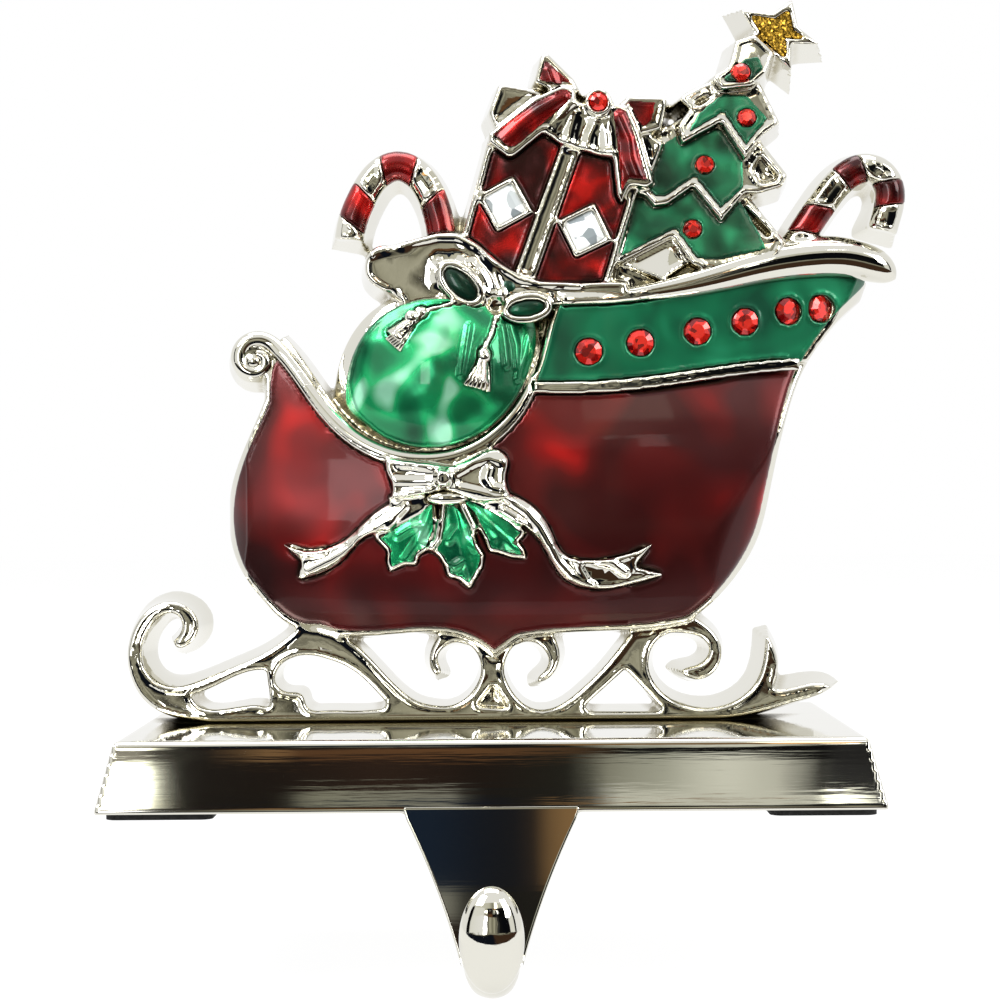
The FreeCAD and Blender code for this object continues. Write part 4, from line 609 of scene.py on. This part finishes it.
# The scroll winds in from the neck: where it starts and how far it turns in degrees, its reach
# from the middle, and how it draws in and thins.
SCROLL_MIDDLE, SCROLL_START, SCROLL_TURN, SCROLL_STEPS = (-41.0, 76.7), 40.0, 403.0, 12
SCROLL_REACH, SCROLL_WIND, SCROLL_EASE, SCROLL_Y, SCROLL_THINNING = 3.9, 3.0, 1.3, 33.3, 0.7
NECK_RADIUS = 1.6
NECK_LINE = [(-36.0, 77.2), (-33.6, 74.2), (-30.0, 69.0), (-26.6, 64.8), (-22.0, 61.2),
             (-16.0, 58.8), (-9.0, 58.4), (-3.0, 60.0), (1.6, 63.2), (5.0, 67.0), (7.2, 71.0),
             (8.8, 75.4), (10.1, 80.4), (11.4, 84.0)]
neck_rim = []
for step in range(SCROLL_STEPS + 1):
    inwards = 1 - step / SCROLL_STEPS
    angle = math.radians(SCROLL_START + SCROLL_TURN * inwards)
    reach = SCROLL_REACH - SCROLL_WIND * inwards**SCROLL_EASE
    neck_rim.append((SCROLL_MIDDLE[0] + reach * math.cos(angle), SCROLL_Y - inwards,
                     SCROLL_MIDDLE[1] + reach * math.sin(angle),
                     NECK_RADIUS - SCROLL_THINNING * inwards**2))
for x, z in NECK_LINE:
    neck_rim.append((x, side_face(x, z, BELLY_BULGE, BELLY_UPRIGHT_RADIUS), z, NECK_RADIUS))
# The rail: X, Z and radius, how far back it may lie, and the share of its radius that it is out.
RAIL_LINE = [(24.0, 87.1, 1.2), (31.9, 88.1, 1.9), (39.8, 90.1, 2.7), (48.0, 92.5, 3.2),
             (56.2, 93.8, 3.5), (62.5, 94.0, 3.5), (67.0, 93.0, 3.3), (69.6, 91.6, 2.7),
             (71.2, 90.4, 1.4), (71.6, 90.1, 0.1)]
RAIL_BACK, RAIL_OUT = 32.4, 0.2
back_rail = []
for x, z, radius in RAIL_LINE:
    y = side_face(x, z, BAND_BULGE, NO_UPRIGHT_CURVE) - RAIL_OUT * radius
    back_rail.append((x, min(y, RAIL_BACK), z, radius))
for name, rope in (("neck_rim_rope", neck_rim), ("back_rail_rope", back_rail)):
    bpy.ops.object.select_all(action="DESELECT")
    bpy.ops.curve.primitive_nurbs_path_add()
    piece = bpy.context.object
    piece.data.bevel_depth = 0.001
    piece.data.bevel_resolution = 8
    piece.data.use_fill_caps = True
    path = piece.data.splines[0]
    path.points.add(len(rope) - len(path.points))
    for point, (x_mm, y_mm, z_mm, radius_mm) in zip(path.points, rope):
        point.co = (x_mm / 1000, y_mm / 1000, z_mm / 1000, 1.0)
        point.radius = radius_mm
    path.order_u, path.use_endpoint_u = 4, True
    bpy.ops.object.convert(target="MESH")
    piece = bpy.context.object
    piece.name = name
    dress(piece, nickel, ["sleigh_casting"])

# Below the small bow's knot its two loops meet in a low mound of metal, cast with them, from
# which the stems of the leaves come out. Its middle in metres, and its half sizes in mm.
MOUND_MIDDLE, MOUND_HALVES = (-0.0073, 0.0222, 0.0521), (3.6, 1.4, 1.3)
bpy.ops.object.select_all(action="DESELECT")
bpy.ops.mesh.primitive_uv_sphere_add(segments=48, ring_count=24, radius=0.001,
                                     location=MOUND_MIDDLE, scale=MOUND_HALVES)
mound = bpy.context.object
bpy.ops.object.transform_apply(location=True, rotation=True, scale=True)
mound.name = "bow_mound"
dress(mound, nickel, ["sleigh_casting"])


# The star is filled with gold glitter in clear resin: small flakes of foil that lie at all
# angles, so that one flashes while the next one is dark.
FLAKE_MM, FLAKE_TILT = 0.34, 1.5
FLAKE_STOPS = [(0.0, "#C9A03C"), (0.6, "#8A6A1E"), (1.0, "#4A350C")]
material, tree = new_material("gold glitter")
place = node(tree, "ShaderNodeTexCoord")
flakes = node(tree, "ShaderNodeTexVoronoi", [("Scale", 1000 / FLAKE_MM)],
              [("Vector", place, "Object")])
shift = node(tree, "ShaderNodeVectorMath", [(1, (0.5, 0.5, 0.5))], [(0, flakes, "Color")],
             operation="SUBTRACT")
spread = node(tree, "ShaderNodeVectorMath", [("Scale", FLAKE_TILT)], [(0, shift, "Vector")],
              operation="SCALE")
surface = node(tree, "ShaderNodeNewGeometry")
tilted = node(tree, "ShaderNodeVectorMath", links=[(0, spread, "Vector"), (1, surface, "Normal")],
              operation="ADD")
facing = node(tree, "ShaderNodeVectorMath", links=[(0, tilted, "Vector")], operation="NORMALIZE")
gold = node(tree, "ShaderNodeValToRGB", links=[("Fac", flakes, "Distance")], stops=FLAKE_STOPS)
shader = node(tree, "ShaderNodeBsdfPrincipled", [("Metallic", 0.9), ("Roughness", 0.25)],
              [("Base Color", gold, "Color"), ("Normal", facing, "Vector")])
node(tree, "ShaderNodeOutputMaterial", links=[("Surface", shader, "BSDF")])
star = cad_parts["star_glitter"]
star.data.materials.clear()
star.data.materials.append(material)


# The stones are cut glass on a foil, set into seats of the casting: red rounds in the band, the
# tree and the bow, and two clear squares in the gift's frames. Their facets are painted bright
# beside dark, cell by cell, as painted glints and painted shade.


def cut_stone(name, code, facet_glint_code, facet_mm, metallic):
    material, tree = new_material(name)
    place = node(tree, "ShaderNodeTexCoord")
    # Painted glints and shade: each facet-sized cell gets its own colour between the dark and the
    # bright stop.
    painted_facet_light = node(tree, "ShaderNodeTexVoronoi", [("Scale", 1000 / facet_mm)],
                   [("Vector", place, "Object")])
    colour = node(tree, "ShaderNodeValToRGB", links=[("Fac", painted_facet_light, "Color")],
                  stops=[(0.25, code), (0.6, facet_glint_code)])
    shader = node(tree, "ShaderNodeBsdfPrincipled",
                  [("Metallic", metallic), ("Roughness", 0.08), ("Coat Weight", 1.0),
                   ("Coat Roughness", 0.01)],
                  [("Base Color", colour, "Color")])
    node(tree, "ShaderNodeOutputMaterial", links=[("Surface", shader, "BSDF")])
    return material


red_stone = cut_stone("red stone", "#7E0308", "#F02A1E", facet_mm=1.1, metallic=0.6)
clear_stone = cut_stone("clear stone", "#8F989B", "#FBFEFE", facet_mm=2.4, metallic=0.15)
for name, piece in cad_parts.items():
    if "stone" in name or name == "bow_gem":
        piece.data.materials.clear()
        piece.data.materials.append(clear_stone if name.startswith("gift_stone") else red_stone)


# Pads of black foam rubber, glued under the base's two ends, matt with open cells, and the two
# hidden screws, nickel-plated as the castings are, that hold the sleigh down.
CELL_MM = 0.8
FOAM_STOPS = [(0.35, "#0C0C0C"), (0.7, "#1E1E1E")]
material, tree = new_material("black foam")
place = node(tree, "ShaderNodeTexCoord")
cells = node(tree, "ShaderNodeTexNoise", [("Scale", 1000 / CELL_MM), ("Detail", 3.0)],
             [("Vector", place, "Object")])
colour = node(tree, "ShaderNodeValToRGB", links=[("Fac", cells, "Fac")], stops=FOAM_STOPS)
shader = node(tree, "ShaderNodeBsdfPrincipled", [("Roughness", 0.9)],
              [("Base Color", colour, "Color")])
node(tree, "ShaderNodeOutputMaterial", links=[("Surface", shader, "BSDF")])
for name in ("non_slip_pad_left", "non_slip_pad_right"):
    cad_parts[name].data.materials.clear()
    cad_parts[name].data.materials.append(material)
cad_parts["base_screws"].data.materials.clear()
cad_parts["base_screws"].data.materials.append(nickel)


# Studio: a white table and a white sweep behind, soft lamps, and in front a curved screen with
# dark, grey and white fields and a dark mat, which only the metal and the gloss mirror.
EYE = Vector((0.00175, -0.3895, 0.0517))
LENS_MM, SENSOR_MM = 86.3, 36.0
ROLL_DEGREES = 0.4
camera_data = bpy.data.cameras.new("camera")
camera_data.lens = LENS_MM
camera_data.sensor_width = SENSOR_MM
camera = bpy.data.objects.new("camera", camera_data)
camera.location = EYE
camera.rotation_euler = (math.radians(90), math.radians(ROLL_DEGREES), 0)
bpy.context.scene.collection.objects.link(camera)
bpy.context.scene.camera = camera

# Each lamp: its place, width and height in metres, and watts.
LAMPS = [
    ("key_lamp", (-0.55, -0.45, 0.75), 0.5, 0.5, 9),
    ("fill_lamp", (0.7, -0.5, 0.45), 0.4, 0.6, 5),
    ("top_lamp", (0.0, 0.1, 0.9), 0.8, 0.5, 6),
]
MIDDLE = Vector((0.0, 0.03, 0.06))
for name, place, width, height, watts in LAMPS:
    data = bpy.data.lights.new(name, "AREA")
    data.shape = "RECTANGLE"
    data.size, data.size_y, data.energy = width, height, watts
    lamp = bpy.data.objects.new(name, data)
    lamp.location = place
    lamp.rotation_euler = (MIDDLE - Vector(place)).to_track_quat("-Z", "Y").to_euler()
    bpy.context.scene.collection.objects.link(lamp)

ROOM_LIGHT, TABLE_GLOW, TABLE_SHARE = 0.45, 1.06, 0.9
world = bpy.data.worlds.new("white room")
bpy.context.scene.world = world
world.use_nodes = True
tree = world.node_tree
tree.nodes.clear()
rays = node(tree, "ShaderNodeLightPath")
seen = node(tree, "ShaderNodeMath", links=[(0, rays, "Is Camera Ray"), (1, rays, "Is Glossy Ray")],
            operation="MAXIMUM")
seen = node(tree, "ShaderNodeMath", links=[(0, seen, "Value"), (1, rays, "Is Transmission Ray")],
            operation="MAXIMUM")
dim = node(tree, "ShaderNodeBackground", [("Color", linear("#FFFFFF")), ("Strength", ROOM_LIGHT)])
white = node(tree, "ShaderNodeBackground", [("Color", linear("#FFFFFF")), ("Strength", 1.0)])
sky = node(tree, "ShaderNodeMixShader", links=[(0, seen, "Value"), (1, dim, "Background"),
                                                (2, white, "Background")])
node(tree, "ShaderNodeOutputWorld", links=[("Surface", sky, "Shader")])

FLOOR_Z = -0.029
bpy.ops.object.select_all(action="DESELECT")
bpy.ops.mesh.primitive_plane_add(size=6.0, location=(0, 0, FLOOR_Z))
floor = bpy.context.object
floor.name = "floor"
material, tree = new_material("white table")
rays = node(tree, "ShaderNodeLightPath")
seen = node(tree, "ShaderNodeMath", links=[(0, rays, "Is Camera Ray"), (1, rays, "Is Glossy Ray")],
            operation="MAXIMUM")
share = node(tree, "ShaderNodeMath", [(1, TABLE_SHARE)], [(0, seen, "Value")],
             operation="MULTIPLY")
matt = node(tree, "ShaderNodeBsdfDiffuse", [("Color", linear("#F4F4F4"))])
glow = node(tree, "ShaderNodeEmission", [("Color", linear("#FFFFFF")),
                                         ("Strength", TABLE_GLOW)])
surface = node(tree, "ShaderNodeMixShader", links=[(0, share, "Value"), (1, matt, "BSDF"),
                                                    (2, glow, "Emission")])
node(tree, "ShaderNodeOutputMaterial", links=[("Surface", surface, "Shader")])
floor.data.materials.append(material)


def mirrored_only(piece, material):
    """Stage dressing that reflections show and nothing else does."""
    piece.data.materials.append(material)
    piece.visible_camera = False
    piece.visible_shadow = False
    piece.visible_diffuse = False
    piece.visible_transmission = False


SCREEN_RADIUS, SCREEN_TOP, SCREEN_HALF_TURN = 0.95, 0.75, 80
bpy.ops.object.select_all(action="DESELECT")
bpy.ops.mesh.primitive_grid_add(x_subdivisions=64, y_subdivisions=4, size=2.0)
screen = bpy.context.object
screen.name = "curved_screen"
for vertex in screen.data.vertices:
    turn = math.radians(SCREEN_HALF_TURN * vertex.co.x)
    height = FLOOR_Z + (vertex.co.y + 1) / 2 * (SCREEN_TOP - FLOOR_Z)
    vertex.co = (SCREEN_RADIUS * math.sin(turn), -SCREEN_RADIUS * math.cos(turn), height)
material, tree = new_material("screen with grey fields")
place = node(tree, "ShaderNodeTexCoord")
parts = node(tree, "ShaderNodeSeparateXYZ", links=[("Vector", place, "Object")])
ahead = node(tree, "ShaderNodeMath", [(1, -1.0)], [(0, parts, "Y")], operation="MULTIPLY")
turn = node(tree, "ShaderNodeMath", links=[(0, parts, "X"), (1, ahead, "Value")],
            operation="ARCTAN2")
turn = node(tree, "ShaderNodeMapRange", [("From Min", -math.radians(SCREEN_HALF_TURN)),
                                          ("From Max", math.radians(SCREEN_HALF_TURN))],
            [("Value", turn, "Value")])


def by_turn(stops):
    """Stops in degrees to the right of the middle, as shares of the screen's width."""
    return [((degrees / SCREEN_HALF_TURN + 1) / 2, code) for degrees, code in stops]


def between(tree, low, high, first, second):
    """Mixes two colours over a range of heights in metres."""
    share = node(tree, "ShaderNodeMapRange", [("From Min", low), ("From Max", high)],
                 [("Value", parts, "Z")])
    return node(tree, "ShaderNodeMix", links=[("Factor", share, "Result"), ("A", *first),
                                               ("B", *second)], data_type="RGBA")


# The screen's lower part: tones by degrees to the right of the middle. The casting mirrors it.
LEVEL_FIELDS = [
    (-80, "#0A0A0A"), (-67, "#0A0A0A"), (-64, "#F4F4EE"), (-22, "#FFFFFF"), (-20.5, "#FFFFFF"),
    (-12, "#FFFFFF"), (-11.2, "#2A2822"), (-8, "#8A8776"), (-5, "#B9B6A2"), (-1, "#A5A28E"),
    (1.5, "#7D7A6A"), (4, "#98957F"), (7, "#B5B29E"), (10, "#6A675A"), (14, "#191917"),
    (30, "#0C0E12"), (50, "#0A0B0E"), (53, "#F4F4EE"), (70, "#F4F4EE"), (73, "#0A0A0A"),
    (80, "#0A0A0A"),
]
# What the base's front mirrors, from its top edge down to the lip: the screen's middle heights.
EDGE_FIELDS = [(-11.7, "#3A3833"), (-9.8, "#24201C"), (-7.7, "#8A6A48"), (-7, "#5E422C"),
               (-1.2, "#6A4A30"), (3, "#4A3828"), (4.2, "#121212"), (20, "#0C0C0C")]
FRONT_FIELDS = [(-17, "#C9CABC"), (-12.4, "#D2D3C4"), (-11.6, "#1F1C1A"), (-7.6, "#231D19"),
                (-4.1, "#33261F"), (-0.7, "#241D19"), (3, "#262621"), (3.5, "#8B8A7C"),
                (5.8, "#B5B6A8"), (7.7, "#E6E6DA"), (10, "#CFCFC3"), (11.3, "#141414"),
                (15.6, "#101010"), (16.3, "#F2F2EC"), (20, "#F4F4F0"), (22, "#0A0B0C")]
FOOT_FIELDS = [(-17, "#C9CABC"), (-12.3, "#C2C1AF"), (-11.4, "#1E1A17"), (-7.6, "#221E1A"),
               (-6.4, "#8F8E7E"), (-1.9, "#85847A"), (-1.1, "#1E1D1B"), (3, "#242320"),
               (4.4, "#D5D5C9"), (12.6, "#DCDCD0"), (13.6, "#101010"), (16.3, "#F2F2EC"),
               (20, "#F4F4F0"), (22, "#0A0B0C")]
LIP_FIELDS = [(-14.7, "#B9B7A4"), (-12, "#3A3833"), (-10.4, "#141B26"), (-2.8, "#1B2636"),
              (-0.4, "#1A1D24"), (1.2, "#1E1E20"), (2.2, "#8C6D49"), (12.6, "#7A5C3C"),
              (13.6, "#101010"), (20, "#141414")]


def with_sides(fields):
    """The fields ahead, and beside them dark, with a white one far out on each side."""
    first, last = fields[0][1], fields[-1][1]
    return by_turn([(-80, "#0A0A0A"), (-67, "#0A0A0A"), (-64, "#F4F4EE"), (-22, "#F4F4EE"),
                    (-20, first), *fields, (50, last), (53, "#F4F4EE"), (70, "#F4F4EE"),
                    (73, "#0A0A0A"), (80, "#0A0A0A")])


PALE_FIELDS = [(-80, "#F2F2EA"), (-8, "#CFCDBC"), (4, "#8F8C7A"), (12, "#C9C7B6"),
               (80, "#F2F2EA")]
# The rows above the level fields, and the heights in metres over which each takes over.
ROWS = [(0.285, 0.3, with_sides(EDGE_FIELDS)), (0.352, 0.36, with_sides(FRONT_FIELDS)),
        (0.4, 0.408, with_sides(FOOT_FIELDS)), (0.422, 0.426, with_sides(LIP_FIELDS)),
        (0.5, 0.54, by_turn(PALE_FIELDS))]
colour = node(tree, "ShaderNodeValToRGB", links=[("Fac", turn, "Result")],
              stops=by_turn(LEVEL_FIELDS))
output = "Color"
for low, high, stops in ROWS:
    row = node(tree, "ShaderNodeValToRGB", links=[("Fac", turn, "Result")], stops=stops)
    colour = between(tree, low, high, (colour, output), (row, "Color"))
    output = "Result"
# Two windows at low and one at high level: their brightness, and an eighth of it elsewhere.
WINDOW_POWER, WINDOWS_LOW_TO_HIGH = 8.0, (0.43, 0.45)
LOW_WINDOWS = [
    (-80, "#636363"), (-20.5, "#636363"), (-20, "#FFFFFF"), (-12.2, "#FFFFFF"), (-11.8, "#636363"),
    (11.4, "#636363"), (11.8, "#C8C8C8"), (18.8, "#C8C8C8"), (19.2, "#636363"), (80, "#636363"),
]
HIGH_WINDOW = [(-80, "#636363"), (9.5, "#636363"), (10, "#E6E6E6"), (20, "#E6E6E6"),
               (20.5, "#636363"), (80, "#636363")]
low_windows = node(tree, "ShaderNodeValToRGB", links=[("Fac", turn, "Result")],
                   stops=by_turn(LOW_WINDOWS))
high_window = node(tree, "ShaderNodeValToRGB", links=[("Fac", turn, "Result")],
                   stops=by_turn(HIGH_WINDOW))
window = between(tree, *WINDOWS_LOW_TO_HIGH, (low_windows, "Color"), (high_window, "Color"))
power = node(tree, "ShaderNodeMath", [(1, WINDOW_POWER)], [(0, window, "Result")],
             operation="MULTIPLY")
glow = node(tree, "ShaderNodeEmission", links=[("Color", colour, "Result"),
                                               ("Strength", power, "Value")])
node(tree, "ShaderNodeOutputMaterial", links=[("Surface", glow, "Emission")])
mirrored_only(screen, material)

# The mat, in metres, with its tones from its near edge to the screen, and a warm patch near the
# holder that starts a little right of its middle.
MAT_NEAR, MAT_FAR, MAT_WIDTH, MAT_ABOVE_FLOOR = -0.085, -0.94, 1.6, 0.0004
MAT_STOPS = [(0.0, "#12161F"), (0.28, "#0D1119"), (0.4, "#6D6A5B"), (0.6, "#A29F8C"),
             (0.8, "#7A7768"), (1.0, "#8F8C7C")]
WARM_CODE, WARM_FROM_X, WARM_FULL_X, WARM_SHARE = "#4A3524", 0.006, 0.02, 0.75
WARM_END_DEPTH, WARM_FULL_DEPTH = 0.42, 0.3
bpy.ops.object.select_all(action="DESELECT")
bpy.ops.mesh.primitive_plane_add(
    size=1.0, location=(0, (MAT_NEAR + MAT_FAR) / 2, FLOOR_Z + MAT_ABOVE_FLOOR))
mat = bpy.context.object
mat.name = "dark_mat"
mat.scale = (MAT_WIDTH, MAT_NEAR - MAT_FAR, 1.0)
material, tree = new_material("dark mat")
place = node(tree, "ShaderNodeNewGeometry")
parts = node(tree, "ShaderNodeSeparateXYZ", links=[("Vector", place, "Position")])
near = node(tree, "ShaderNodeMapRange", [("From Min", MAT_NEAR), ("From Max", MAT_FAR)],
            [("Value", parts, "Y")])
depth_fields = node(tree, "ShaderNodeValToRGB", links=[("Fac", near, "Result")],
                    stops=MAT_STOPS)
side = node(tree, "ShaderNodeMapRange", [("From Min", WARM_FROM_X), ("From Max", WARM_FULL_X),
                                         ("To Max", WARM_SHARE)],
            [("Value", parts, "X")])
close = node(tree, "ShaderNodeMapRange", [("From Min", WARM_END_DEPTH),
                                          ("From Max", WARM_FULL_DEPTH)],
             [("Value", near, "Result")])
warm = node(tree, "ShaderNodeMath", links=[(0, side, "Result"), (1, close, "Result")],
            operation="MULTIPLY")
colour = node(tree, "ShaderNodeMix", [("B", linear(WARM_CODE))],
              [("Factor", warm, "Value"), ("A", depth_fields, "Color")], data_type="RGBA")
glow = node(tree, "ShaderNodeEmission", links=[("Color", colour, "Result")])
node(tree, "ShaderNodeOutputMaterial", links=[("Surface", glow, "Emission")])
mirrored_only(mat, material)

bpy.context.scene.view_settings.view_transform = "Standard"
